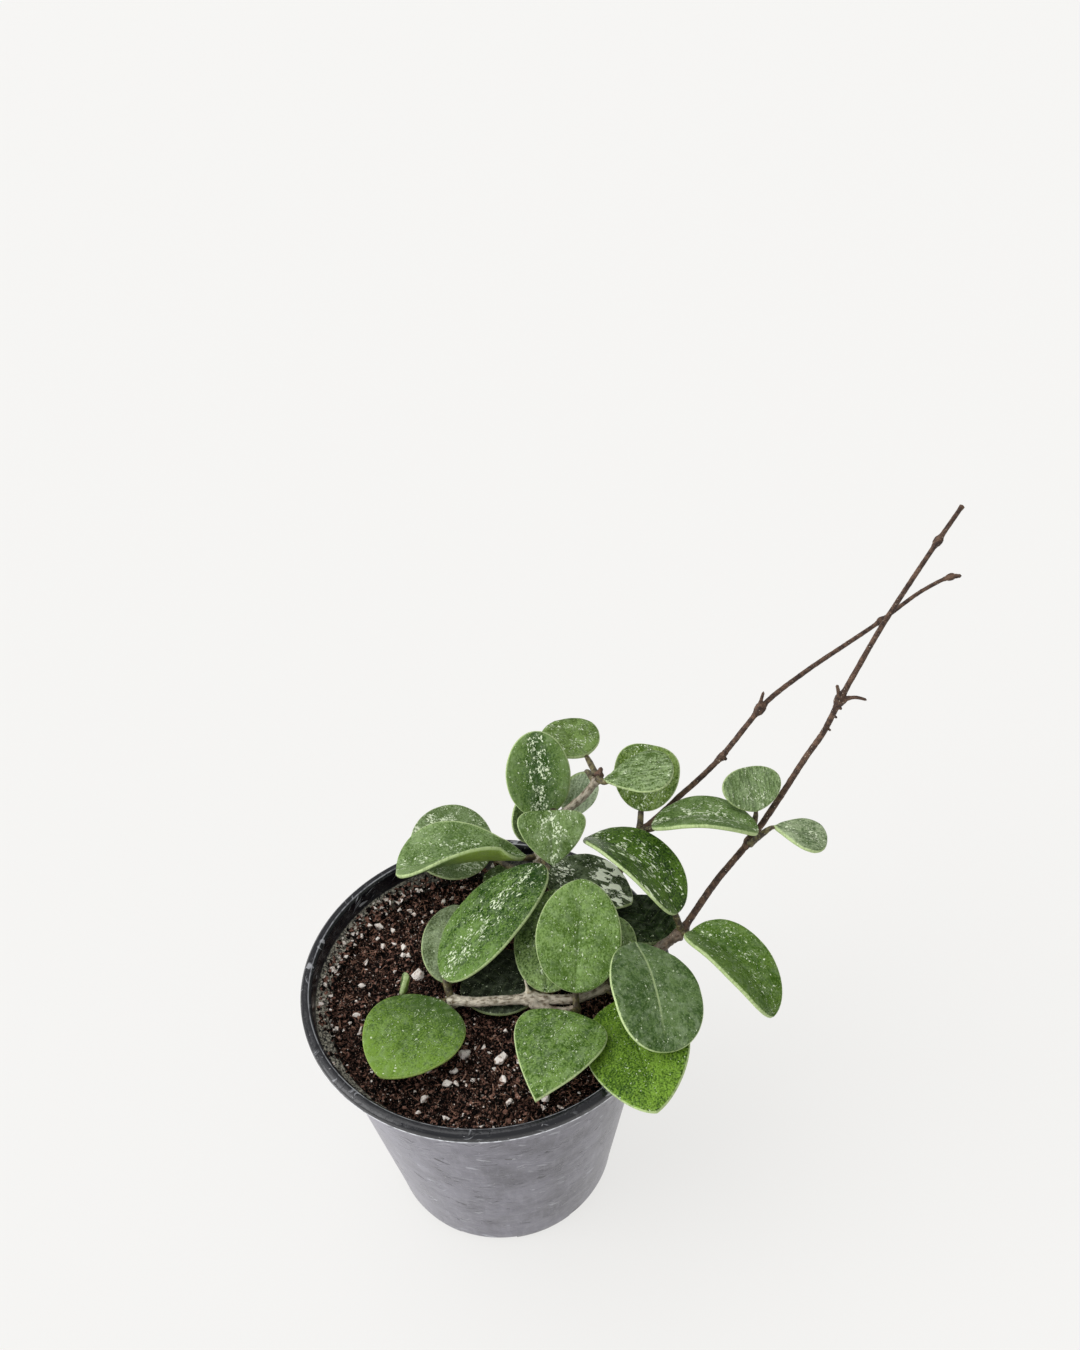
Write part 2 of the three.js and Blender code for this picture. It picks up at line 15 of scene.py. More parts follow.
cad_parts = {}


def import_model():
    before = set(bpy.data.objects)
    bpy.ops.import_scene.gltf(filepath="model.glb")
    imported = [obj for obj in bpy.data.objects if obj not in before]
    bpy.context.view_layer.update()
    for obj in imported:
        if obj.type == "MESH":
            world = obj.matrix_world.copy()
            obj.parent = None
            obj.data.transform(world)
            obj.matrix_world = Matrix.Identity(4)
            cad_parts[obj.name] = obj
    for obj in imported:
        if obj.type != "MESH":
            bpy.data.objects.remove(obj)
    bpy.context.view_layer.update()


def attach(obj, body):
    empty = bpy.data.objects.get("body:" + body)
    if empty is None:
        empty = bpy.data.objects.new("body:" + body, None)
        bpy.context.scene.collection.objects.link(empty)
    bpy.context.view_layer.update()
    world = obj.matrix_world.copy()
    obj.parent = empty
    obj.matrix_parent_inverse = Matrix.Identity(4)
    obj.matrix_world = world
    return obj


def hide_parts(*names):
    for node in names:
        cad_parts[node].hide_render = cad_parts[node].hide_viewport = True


log = logging.getLogger("hoya")

MM = 0.001  # metres in a millimetre
BODY = "root"

TURN = 2 * math.pi
ABOUT_A_TURN = 6.28  # radians, for shapes that are turned at random

Colour = tuple[float, float, float]
Point = tuple[float, float, float]
Screen = tuple[int, int, int]  # a colour of 0 to 255, as a screen shows it
Mesh = bmesh.types.BMesh
Vert = bmesh.types.BMVert
Edge = bmesh.types.BMEdge
Piece = bpy.types.Object
Material = bpy.types.Material
Draw = random.Random


def paint(red: int, green: int, blue: int) -> Colour:
    """Turn a screen colour of 0 to 255 into the linear colour that a shader takes."""
    shares = (value / 255 for value in (red, green, blue))
    return tuple(s / 12.92 if s <= 0.04045 else ((s + 0.055) / 1.055) ** 2.4 for s in shares)


def ramp(value: float, low: float, high: float) -> float:
    """Rise smoothly from 0 at low to 1 at high, for plain numbers."""
    share = min(1.0, max(0.0, (value - low) / (high - low)))
    return share * share * (3 - 2 * share)


def lerp(start: float, end: float, share: float) -> float:
    """Go from start to end by a share of the way."""
    return start + (end - start) * share


def ripple(x: float, y: float, z: float) -> float:
    """Read smooth noise between -1 and 1."""
    return noise.noise(Vector((x, y, z)))


def bell(value: float, width: float) -> float:
    """Fall from 1 at a value of 0 to near 0 at twice the width, on both sides."""
    return math.exp(-(value / width) ** 2)


def dome(share: float) -> float:
    """Rise from 0 to 1 as a quarter of a circle does, and stay there past a share of 1."""
    return math.sqrt(max(0.0, 1 - (1 - min(share, 1.0)) ** 2))


# ---- Shader expressions ----


class Signal:
    """One socket of a shader tree that takes part in ordinary Python arithmetic."""

    def __init__(self, bench: "Bench", socket: bpy.types.NodeSocket) -> None:
        """Wrap an output socket of the material that the bench builds."""
        self.bench = bench
        self.socket = socket

    def __add__(self, other: "Value") -> "Signal":
        """Add a value."""
        return self.bench.combine("ADD", self, other)

    def __sub__(self, other: "Value") -> "Signal":
        """Take a value away."""
        return self.bench.combine("SUBTRACT", self, other)

    def __rsub__(self, other: "Value") -> "Signal":
        """Take this from a value."""
        return self.bench.combine("SUBTRACT", other, self)

    def __mul__(self, other: "Value") -> "Signal":
        """Multiply by a value."""
        return self.bench.combine("MULTIPLY", self, other)

    def __truediv__(self, other: "Value") -> "Signal":
        """Divide by a value."""
        return self.bench.combine("DIVIDE", self, other)

    def __pow__(self, other: "Value") -> "Signal":
        """Raise to a power."""
        return self.bench.combine("POWER", self, other)

    def __abs__(self) -> "Signal":
        """Drop the sign."""
        return self.bench.maths("ABSOLUTE", self)

    def sine(self) -> "Signal":
        """Take the sine."""
        return self.bench.maths("SINE", self)

    def least(self, other: "Value") -> "Signal":
        """Keep the smaller of this and a value."""
        return self.bench.maths("MINIMUM", self, other)

    def rise(self, low: float, high: float) -> "Signal":
        """Rise smoothly from 0 at low to 1 at high, or fall where low is above high."""
        start, end, first, last = (low, high, 0.0, 1.0) if low < high else (high, low, 1.0, 0.0)
        return self.bench.add("ShaderNodeMapRange", {"interpolation_type": "SMOOTHSTEP"}, {
            "Value": self, "From Min": start, "From Max": end, "To Min": first, "To Max": last})

    def between(self, bottom: "Value", top: "Value") -> "Signal":
        """Blend two colours, with this number as the share of the second."""
        return self.bench.blend("MIX", self, bottom, top)

    def parts(self) -> tuple["Signal", ...]:
        """Split a vector or a colour into its three numbers."""
        kind = "ShaderNodeSeparateColor" if self.socket.type == "RGBA" else "ShaderNodeSeparateXYZ"
        node = self.bench.add(kind, sockets={0: self}).socket.node
        return tuple(Signal(self.bench, output) for output in node.outputs)


Value = Signal | float | Colour


class Bench:
    """The shader tree of one material, built from expressions."""

    def __init__(self, name: str) -> None:
        """Start an empty material of this name."""
        self.material = bpy.data.materials.new(name)
        self.material.use_nodes = True
        self.tree = self.material.node_tree
        self.tree.nodes.clear()

    def feed(self, socket: bpy.types.NodeSocket, value: Value) -> None:
        """Link a signal to a socket, or set a constant on it.

        Args:
            socket: An input socket.
            value: A signal, a number, a colour or a vector.
        """
        if isinstance(value, Signal):
            self.tree.links.new(value.socket, socket)
        elif socket.type in {"RGBA", "VECTOR"}:
            three = value if isinstance(value, tuple) else (value,) * 3
            socket.default_value = (*three, 1.0)[:len(socket.default_value)]
        else:
            socket.default_value = value

    def add(self, kind: str, settings: dict[str, object] | None = None,
            sockets: dict[str | int, object] | None = None, out: str | int = 0) -> Signal:
        """Add any node.

        Args:
            kind: The node's type name.
            settings: Values of the node's own properties.
            sockets: A value or signal for each input, by its name or number.
            out: The output that is wanted, by name or number.

        Returns:
            The wanted output as a signal.
        """
        node = self.tree.nodes.new(kind)
        for key, value in (settings or {}).items():
            setattr(node, key, value)
        for key, value in (sockets or {}).items():
            self.feed(node.inputs[key], value)
        return Signal(self, node.outputs[out])

    def maths(self, operation: str, *values: Value) -> Signal:
        """Work on plain numbers."""
        return self.add("ShaderNodeMath", {"operation": operation}, dict(enumerate(values)))

    def blend(self, mode: str, share: Value, bottom: Value, top: Value) -> Signal:
        """Lay one colour over another in one of the mixer's modes."""
        settings = {"data_type": "RGBA", "blend_type": mode, "clamp_factor": True}
        return self.add("ShaderNodeMix", settings, {0: share, 6: bottom, 7: top}, 2)

    def coat(self, base: Value, *coats: tuple[Signal, Value]) -> Signal:
        """Lay coats of colour over a base.

        Args:
            base: The first colour.
            *coats: For each coat, the share that it covers and its colour.

        Returns:
            The colour on top.
        """
        for share, colour in coats:
            base = share.between(base, colour)
        return base

    def combine(self, operation: str, first: Value, second: Value) -> Signal:
        """Join two values by arithmetic.

        Args:
            operation: ADD, SUBTRACT, MULTIPLY, DIVIDE or POWER.
            first: The first value.
            second: The second value. At least one of the two is a signal.

        Returns:
            A colour or a vector if one of the two is that, or else a number.
        """
        kinds = {value.socket.type for value in (first, second) if isinstance(value, Signal)}
        if "RGBA" in kinds:
            return self.blend(operation, 1.0, first, second)
        if "VECTOR" in kinds:
            return self.add("ShaderNodeVectorMath", {"operation": operation}, {0: first, 1: second})
        return self.maths(operation, first, second)

    def place(self) -> Signal:
        """Give the place on the object in millimetres."""
        return self.add("ShaderNodeTexCoord", out="Object") * (1 / MM)

    def attribute(self, name: str) -> Signal:
        """Read a vector that the mesh carries."""
        return self.add("ShaderNodeAttribute", {"attribute_name": name}, out="Vector")

    def vector(self, x: Value, y: Value, z: Value) -> Signal:
        """Join three numbers to a vector."""
        return self.add("ShaderNodeCombineXYZ", sockets={0: x, 1: y, 2: z})

    def cloud(self, place: Signal, grain: float, detail: float = 2.0, warp: float = 0.0,
              out: str = "Fac") -> Signal:
        """Make soft noise around 0.5, of a grain in millimetres, with finer octaves and a warp."""
        sockets = {"Vector": place, "Scale": 1.0 / grain, "Detail": detail, "Distortion": warp}
        return self.add("ShaderNodeTexNoise", sockets=sockets, out=out)

    def specks(self, place: Signal, spacing: float, share: Value, size: float,
               ragged: float = 0.35) -> Signal:
        """Scatter ragged specks, at most one in each cell.

        Args:
            place: Where to read them, in millimetres.
            spacing: Width of a cell in millimetres.
            share: The share of cells that hold a speck.
            size: Radius of the largest speck, as a share of the spacing.
            ragged: How far a speck's outline wanders, as a share of the spacing.

        Returns:
            1 in a speck and 0 outside.
        """
        wander = (self.cloud(place, spacing * 0.45, 3.0, out="Color") - 0.5) * (ragged * spacing * 2)
        sockets = {"Vector": place + wander, "Scale": 1.0 / spacing, "Randomness": 1.0}
        distance = self.add("ShaderNodeTexVoronoi", sockets=sockets, out="Distance")
        chance, bulk, _ = Signal(self, distance.socket.node.outputs["Color"]).parts()
        radius = bulk * (size * 0.7) + size * 0.3
        return (distance / radius).rise(1.0, 0.7) * (share - chance).rise(0.0, 0.02)

    def flakes(self, place: Signal, grain: float, cover: Signal) -> Signal:
        """Scatter ragged islands, where a cover of 1 gives them about a fifth of the surface."""
        height = self.cloud(place, grain, 2.5, 0.3)
        return (height - (0.75 - cover * 0.18)).rise(0.0, 0.015)

    def bump(self, height: Signal, depth: float, normal: Signal | None = None) -> Signal:
        """Turn a height of 0 to 1 into a bumped normal.

        Args:
            height: The height.
            depth: What a height of 1 stands for, in millimetres.
            normal: A normal that is already bumped, or none.

        Returns:
            The normal.
        """
        sockets = {"Strength": 1.0, "Distance": depth * MM, "Height": height}
        if normal is not None:
            sockets["Normal"] = normal
        return self.add("ShaderNodeBump", sockets=sockets, out="Normal")

    def finish(self, **sockets: Value) -> Material:
        """Close the tree with one surface shader.

        Args:
            **sockets: The shader's inputs, with an underscore for each space in their names.

        Returns:
            The finished material.
        """
        named = {key.replace("_", " "): value for key, value in sockets.items()}
        surface = self.add("ShaderNodeBsdfPrincipled", sockets=named, out="BSDF")
        output = self.tree.nodes.new("ShaderNodeOutputMaterial")
        self.feed(output.inputs["Surface"], surface)
        return self.material


# ---- Finishes ----


@dataclass(frozen=True)
class LeafFinish:
    """The skin of one leaf. Shares run from 0 to 1, and sizes are in millimetres."""

    deep: Colour = paint(54, 78, 30)
    fresh: Colour = paint(104, 134, 66)
    cloudy: float = 1.0  # how far the green follows soft clouds,
    to_tip: float = 0.0  # the way from base to tip,
    to_side: float = 0.0  # and the way from midrib to margin
    glow: Colour = paint(134, 158, 74)  # yellow-green patches and veins
    glowing: float = 0.0
    pale: Colour = paint(212, 224, 192)  # flecks
    line: Colour = paint(188, 206, 150)  # margin
    flecks: float = 0.5  # how many
    fleck_size: float = 0.62
    trail: float = 0.6  # how tightly the flecks keep to the midrib
    streak: float = 1.4  # how long a fleck is for its width
    splash: float = 0.0  # share of large silver splashes
    splash_from: float = 0.0  # share of the length where they begin
    sheen: float = 0.15  # grey powdery cast
    wrinkles: float = 0.1
    rim: float = 0.8
    rib: float = 0.35  # dark midrib, or a pale one below 0
    under: Colour = paint(112, 142, 66)
    under_ends: float = 2.0  # share of the length past which the underside is as the upper one
    powder: Colour = paint(176, 192, 160)
    stalk: Colour = paint(100, 92, 56)
    stalk_streak: Colour = paint(50, 40, 24)
    stalk_lint: Colour = paint(188, 182, 146)
    vein_pitch: float = 3.6  # between two side veins
    shine: float = 0.42  # roughness
    gloss: float = 0.1
    coat: float = 0.0

    def dress(self, name: str, seed: float) -> Material:
        """Build the blade's material.

        Args:
            name: The material's name.
            seed: A number that tells this leaf's pattern from the others'.

        Returns:
            The material.
        """
        bench = Bench(name)
        along, across, margin = bench.attribute("blade").parts()
        share, lane, upper = bench.attribute("spot").parts()
        plane = bench.vector(along + 61.0 * seed, across, upper * 0.4 + seed)
        front = upper.rise(-0.1, 0.1)
        grain = bench.cloud(plane, 0.55, 4.0)
        mottle = bench.cloud(plane + (5.0, 31.0, 2.0), 2.4, 3.0, 0.5)

        tone = (bench.cloud(plane, 9.0, 2.0, 0.4) - 0.5) * (1.7 * self.cloudy) + 0.5
        wrinkle = bench.cloud(bench.vector(along * 0.22 + 9.0 * seed, across, 0.0), 0.9, 2.0)
        for pattern, weight in ((mottle, 1.1), (grain, 3.0), (wrinkle, 4.0 * self.wrinkles),
                                (share, self.to_tip), (abs(lane), self.to_side)):
            tone = tone + (pattern - 0.5) * weight
        patches = bench.cloud(plane + (17.0, 5.0, 0.0), 2.6, 4.0, 0.8)
        low = 0.74 - 0.24 * self.glowing
        veins = self.veins(along, across)
        rib = abs(across).rise(0.5, 0.1) * share.rise(0.96, 0.6)
        upper_side = bench.coat(
            self.deep, (tone.rise(-0.15, 1.15), self.fresh),
            (patches.rise(low, low + 0.2) * 0.7, self.glow), (veins * 0.14, self.glow),
            (rib * abs(self.rib), self.line if self.rib < 0 else self.deep))
        green = bench.coat(
            self.under, (tone.rise(-0.2, 1.2), self.glow), (rib * 0.4, self.line),
            (share.rise(self.under_ends, self.under_ends + 0.25), upper_side), (front, upper_side))

        powder = bench.cloud(plane, 2.2, 5.0, 0.5).rise(0.4, 0.75) * self.sheen
        lint = bench.specks(plane, 0.4, 0.4, 0.36) * (0.12 + self.sheen)
        marks = self.marks(bench, plane, lane, share) * (front * 0.85 + 0.15)
        edge = margin.rise(0.38, 0.12) * (grain * 1.6 + 0.1).least(1.0) * self.rim
        fuzz = bench.specks(plane, 0.4, 0.62, 0.42) * margin.rise(1.6, 0.3) * (0.7 * self.rim)
        green = bench.coat(green, (powder + lint, self.powder), (marks, self.pale), (edge, self.line),
                           (fuzz, self.line))

        relief = veins * 0.3 + grain * 1.2 + mottle * 0.8 + marks * 0.3 - rib * 0.6
        normal = bench.bump(relief, 0.2, bench.bump(wrinkle, self.wrinkles * 2.4))
        rough = grain * 0.2 + (self.shine - 0.1) + marks * 0.15 + powder * 0.25 + fuzz * 0.2
        return bench.finish(Base_Color=green, Roughness=rough, Normal=normal, IOR=1.4,
                            Specular_IOR_Level=self.gloss, Coat_Weight=self.coat, Coat_Roughness=0.2)

    def veins(self, along: Signal, across: Signal) -> Signal:
        """Draw faint side veins that leave the midrib at a slant."""
        slant = along - abs(across) * 0.75
        return abs((slant * (math.pi / self.vein_pitch)).sine()).rise(0.2, 0.0)

    def marks(self, bench: Bench, plane: Signal, lane: Signal, share: Signal) -> Signal:
        """Scatter the silvery flecks, thickest along the midrib, and the larger splashes.

        Args:
            bench: The material being built.
            plane: Place on the flattened blade.
            lane: Share of the half width, with its sign.
            share: Share of the length.

        Returns:
            1 on a mark and 0 elsewhere.
        """
        x, y, z = plane.parts()
        drawn = bench.vector(x / self.streak, y, z)
        near = abs(lane).rise(lerp(2.2, 0.6, self.trail), 0.0) * 0.7 + 0.3
        clump = bench.cloud(plane, 3.6, 2.0).rise(0.34, 0.6)
        cover = near * clump * (1.5 * self.flecks)
        marks = bench.flakes(drawn, self.fleck_size, cover)
        marks = marks + bench.flakes(drawn + (3.0, 7.0, 0.0), self.fleck_size * 0.5, cover * 0.9) * 0.85
        dots = near * (0.2 * self.flecks) + 0.04
        marks = marks + bench.specks(plane, 1.0, dots, 0.34, 0.45)
        if self.splash:
            stretched = bench.vector(x * 0.42, y, z)
            reach = share.rise(self.splash_from - 0.08, self.splash_from + 0.12) * self.splash
            marks = marks + bench.flakes(stretched + (11.0, 2.0, 5.0), 1.7, reach * 1.3)
        return marks.least(1.0)

    def dress_stalk(self, name: str) -> Material:
        """Build the stalk's material: olive-brown skin with pale lint and darker streaks.

        Args:
            name: The material's name.

        Returns:
            The material.
        """
        bench = Bench(name)
        place = bench.place()
        tone = bench.cloud(place, 1.4, 4.0)
        lint = bench.specks(place, 0.5, 0.4, 0.36)
        skin = bench.coat(self.stalk, (tone.rise(0.36, 0.6), self.stalk_streak),
                          (lint * 0.7, self.stalk_lint))
        normal = bench.bump(bench.cloud(place, 0.5, 3.0), 0.12)
        return bench.finish(Base_Color=skin, Roughness=tone * 0.2 + 0.45, Normal=normal)


@dataclass(frozen=True)
class BarkFinish:
    """Woody skin that runs from dark vine to pale corky stem, as the mesh's bark value says."""

    dark: Colour = paint(50, 34, 27)
    warm: Colour = paint(104, 80, 64)
    pale: Colour = paint(226, 220, 200)
    olive: Colour = paint(104, 92, 66)
    scar: Colour = paint(38, 27, 20)
    lint: Colour = paint(226, 216, 196)

    def dress(self, name: str) -> Material:
        """Build the material.

        Args:
            name: The material's name.

        Returns:
            The material.
        """
        bench = Bench(name)
        place = bench.place()
        along, ring, paleness = bench.attribute("bark").parts()
        tone = bench.cloud(place, 1.6, 4.0, 0.4)
        young = tone.rise(0.32, 0.68).between(self.dark, self.warm)
        streaks = bench.cloud(bench.vector(along * 0.4, ring * 2.4, paleness), 0.7, 4.0)
        old = (streaks * 0.6 + tone * 0.4).rise(0.34, 0.6).between(self.olive, self.pale)
        scars = bench.specks(place, 0.7, 0.4, 0.36) * (paleness * 0.5 + 0.2)
        lint = bench.specks(place + (5.0, 3.0, 1.0), 0.6, 0.3, 0.3) * (paleness * 0.3 + 0.6)
        skin = bench.coat(young, (paleness, old), (scars, self.scar), (lint, self.lint))
        ridges = streaks * 0.6 + bench.cloud(place, 0.35, 3.0) * 0.5 - scars * 0.3
        normal = bench.bump(ridges, 0.6)
        return bench.finish(Base_Color=skin, Roughness=tone * 0.2 + 0.55, Normal=normal,
                            Specular_IOR_Level=0.35)


@dataclass(frozen=True)
class RootFinish:
    """The whitish skin of an aerial root."""

    skin: Colour = paint(206, 200, 182)
    stain: Colour = paint(150, 138, 112)

    def dress(self, name: str) -> Material:
        """Build the material.

        Args:
            name: The material's name.

        Returns:
            The material.
        """
        bench = Bench(name)
        place = bench.place()
        tone = bench.cloud(place, 0.8, 3.0)
        colour = tone.rise(0.3, 0.75).between(self.stain, self.skin)
        return bench.finish(Base_Color=colour, Roughness=0.7, Normal=bench.bump(tone, 0.15))


@dataclass(frozen=True)
class PotFinish:
    """Dark grey moulded plastic: glossy blue-black rim, scuffed satin wall, crusted ledge, with painted
    light on the wall's left, painted highlights on the lip and painted shade at the foot.
    """

    wall: Colour = paint(112, 110, 121)
    shade: Colour = paint(76, 74, 84)
    painted_lit_side: Colour = paint(146, 144, 155)  # painted light: the left side of the wall is lighter, where the light from the left falls
    rim: Colour = paint(10, 12, 19)
    crust: Colour = paint(178, 174, 158)
    wear_and_highlight: Colour = paint(222, 224, 230)  # scratches, and the painted highlights along the lip's edges
    streak: Colour = paint(150, 148, 160)
    # foot: painted shade along the bottom of the wall, where the pot stands on the floor
    foot: Colour = paint(34, 32, 38)
    nick: Colour = paint(50, 48, 58)
    silt: Colour = paint(88, 84, 76)
    dust: Colour = paint(178, 176, 178)
    rim_foot: float = 85.7  # height where the lip begins
    taper: float = 0.1764  # how far the wall leans out for each millimetre of height
    wall_start: float = 34.24  # radius of the wall's middle at the bottom
    lip_edge: float = 86.95  # height of the painted highlight line along the lip's lower edge
    lip_inside: float = 52.5  # radius of the painted highlight along its inner top edge
    ledge: float = 84.0  # the crust's upper edge
    collar: tuple[float, float] = (80.9, 83.6)  # heights between which the wall steps out
    collar_step: float = 2.9

    def dress(self, name: str) -> Material:
        """Build the material.

        Args:
            name: The material's name.

        Returns:
            The material.
        """
        bench = Bench(name)
        place = bench.place()
        x, y, z = place.parts()
        cloudy = bench.cloud(place, 12.0, 5.0)
        grain = bench.cloud(place, 0.5, 3.0)
        patchy = bench.cloud(place + (8.0, 3.0, 60.0), 3.0, 4.0, 0.5)
        wall = (cloudy * 0.75 + patchy * 0.25).rise(0.34, 0.66).between(self.shade, self.wall)
        streaks = bench.cloud(bench.vector(x, y, z * 0.12), 1.8, 3.0)
        # Painted light makes the left of the wall lighter. Painted shade darkens the bottom few
        # millimetres where the pot meets the floor. The streaks are the plastic's own.
        wall = bench.coat(wall, (streaks.rise(0.5, 0.7) * 0.2, self.streak),
                          (x.rise(8.0, -46.0) * 0.5, self.painted_lit_side), (z.rise(3.0, 1.2) * 0.8, self.foot))
        high = z.rise(self.rim_foot - 0.4, self.rim_foot)
        radius = (x * x + y * y) ** 0.5
        wall_middle = z * self.taper + self.wall_start + z.rise(*self.collar) * self.collar_step
        inside = (wall_middle - radius).rise(-0.1, 0.1)

        outside = (1.0 - high) * (1.0 - inside)
        strokes = self.strokes(bench, place, x, y, z)
        rubs = self.strokes(bench, place + (31.0, 17.0, 44.0), x, y, z)
        # Painted highlights: a light line along the lip's lower edge and a fainter one along its inner top
        # edge, broken up in patches.
        chipped = bench.cloud(place, 2.4, 4.0).rise(0.36, 0.56)
        edge = self.lip_edge
        lower_lip_highlight = z.rise(edge - 0.2, edge) * z.rise(edge + 0.75, edge + 0.4)
        inner = z.rise(89.7, 89.9) * abs(radius - self.lip_inside).rise(0.3, 0.12) * 0.4
        edges = (lower_lip_highlight * (1.0 - inside) + inner) * (chipped * 0.6 + 0.4)

        left = x.rise(-6.0, -36.0) * 0.8 + 0.2
        limescale = bench.cloud(place, 0.8, 5.0, 0.8).rise(0.38, 0.5)
        crust = inside * z.rise(self.ledge, self.ledge - 0.4) * left * limescale
        chalk = grain.rise(0.4, 0.6).between(self.silt, self.crust)
        dust = bench.specks(place, 1.3, 0.26, 0.2) * 0.5
        colour = bench.coat(wall, (high, self.rim), (inside, self.rim), (strokes * outside, self.nick),
                            (rubs * (outside * 0.35 + high * 0.4), self.wear_and_highlight), (edges, self.wear_and_highlight),
                            (crust, chalk), (dust, self.dust))

        normal = bench.bump(bench.cloud(place, 7.0, 2.0), 0.35)
        normal = bench.bump(grain * 0.4 + crust * 2.0 - strokes * 0.8, 0.15, normal)
        rough = (1.0 - high) * 0.06 + 0.18 + cloudy * 0.1 + rubs * 0.2 + crust * 0.4
        return bench.finish(Base_Color=colour, Roughness=rough, Normal=normal, Specular_IOR_Level=0.5)

    def strokes(self, bench: Bench, place: Signal, x: Signal, y: Signal, z: Signal) -> Signal:
        """Draw fine arc-shaped scratches in rubbed patches, and short nicks.

        Args:
            bench: The material being built.
            place: Where to read the patches, in millimetres.
            x: The place from left to right.
            y: The place from front to back.
            z: The height.

        Returns:
            1 on a stroke and 0 elsewhere.
        """
        bow = z * 1.6 + x * x * 0.012 + bench.cloud(place, 9.0, 2.0) * 12.0
        lines = bench.cloud(bench.vector(x * 0.16, y * 0.16, bow), 0.9, 2.0).rise(0.6, 0.67)
        rubbed = bench.cloud(place + (40.0, 0.0, 12.0), 9.0, 2.0).rise(0.46, 0.62)
        leaning = bench.vector(x * 0.4, y * 0.4, z * 1.3 + x * 0.5)
        nicks = bench.specks(leaning, 3.4, rubbed * 0.75 + 0.05, 0.34, 0.3)
        return (lines * rubbed * 0.8 + nicks).least(1.0)


@dataclass(frozen=True)
class PeatFinish:
    """Moist dark peat, from near black to reddish brown."""

    dark: Colour = paint(7, 4, 3)
    brown: Colour = paint(112, 82, 70)
    light: Colour = paint(208, 186, 170)
    grit: Colour = paint(236, 226, 218)
    grain: float = 0.7

    def dress(self, name: str) -> Material:
        """Build the material.

        Args:
            name: The material's name.

        Returns:
            The material.
        """
        bench = Bench(name)
        place = bench.place()
        tone = bench.cloud(place, self.grain, 5.0)
        flakes = bench.specks(place, 0.7, 0.45, 0.38)
        grit = bench.specks(place + (3.0, 3.0, 3.0), 1.2, 0.2, 0.22)
        colour = bench.coat(self.dark, (tone.rise(0.49, 0.6), self.brown), (flakes * 0.8, self.light),
                            (grit, self.grit))
        normal = bench.bump(bench.cloud(place, 0.6, 5.0), 0.8)
        return bench.finish(Base_Color=colour, Roughness=0.75, Normal=normal, Specular_IOR_Level=0.1)


@dataclass(frozen=True)
class PerliteFinish:
    """Porous white volcanic glass, stained by the peat."""

    white: Colour = paint(246, 238, 230)
    stain: Colour = paint(168, 138, 120)
    pore: Colour = paint(96, 76, 64)

    def dress(self, name: str) -> Material:
        """Build the material.

        Args:
            name: The material's name.

        Returns:
            The material.
        """
        bench = Bench(name)
        place = bench.place()
        tone = bench.cloud(place, 1.1, 4.0)
        pores = bench.specks(place, 0.5, 0.5, 0.34)
        colour = bench.coat(self.white, (tone.rise(0.5, 0.7), self.stain), (pores * 0.7, self.pore))
        normal = bench.bump(tone - pores * 0.6, 0.4)
        return bench.finish(Base_Color=colour, Roughness=0.8, Normal=normal)


# ---- Mesh helpers ----


def link(name: str, data: bpy.types.ID) -> Piece:
    """Add an object to the scene."""
    thing = bpy.data.objects.new(name, data)
    bpy.context.scene.collection.objects.link(thing)
    return thing


def settle(name: str, mesh: Mesh) -> Piece:
    """Turn a mesh into an object of the scene, and free it."""
    data = bpy.data.meshes.new(name)
    mesh.to_mesh(data)
    mesh.free()
    return link(name, data)


def crisp(piece: Piece, angle: float) -> None:
    """Keep the edges crisp that are steeper than an angle in degrees."""
    piece.data.set_sharp_from_angle(angle=math.radians(angle))


def mend(mesh: Mesh) -> None:
    """Turn all faces outwards."""
    bmesh.ops.recalc_face_normals(mesh, faces=mesh.faces)


def soften(mesh: Mesh, edges: Iterable[Edge], width: float, segments: int) -> None:
    """Bevel edges by a width in millimetres."""
    bmesh.ops.bevel(mesh, geom=list(edges), offset=width * MM, offset_type="OFFSET", segments=segments,
                    profile=0.5, affect="EDGES", clamp_overlap=True, material=-1)


def show(name: str, mesh: Mesh, materials: Iterable[Material], node: str = "",
         sharp: float = 0.0) -> Piece:
    """Turn a finished mesh into a piece that rides on the plant.

    Args:
        name: The piece's name.
        mesh: Its mesh, in metres and in place, which is freed.
        materials: Its materials, in the order of the faces' material numbers.
        node: The frame's node that it stands for, or none.
        sharp: The angle in degrees past which an edge stays crisp, or 0 for none.

    Returns:
        The piece.
    """
    for face in mesh.faces:
        face.smooth = True
    piece = settle(name, mesh)
    if sharp:
        crisp(piece, sharp)
    for material in materials:
        piece.data.materials.append(material)
    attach(piece, BODY)
    if node:
        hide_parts(node)
    log.info("%s: %d faces", name, len(piece.data.polygons))
    return piece


def ball(mesh: Mesh, rings: int, sides: int,
         place: Callable[[float, float, Vert], Vector]) -> None:
    """Draw a closed ball out into a long form whose two poles become its ends.

    Args:
        mesh: The mesh that it is added to.
        rings: Steps from end to end.
        sides: Steps round.
        place: Gives the point in millimetres for a share of the way from end to end and a turn,
            and may write attributes on the vertex.
    """
    made = bmesh.ops.create_uvsphere(mesh, u_segments=sides, v_segments=rings, radius=1.0)
    for vert in made["verts"]:
        turn = math.atan2(vert.co.y, vert.co.x)
        ring = round((1 - math.acos(max(-1.0, min(1.0, vert.co.z))) / math.pi) * rings)
        vert.co = place(ring / rings, turn, vert) * MM


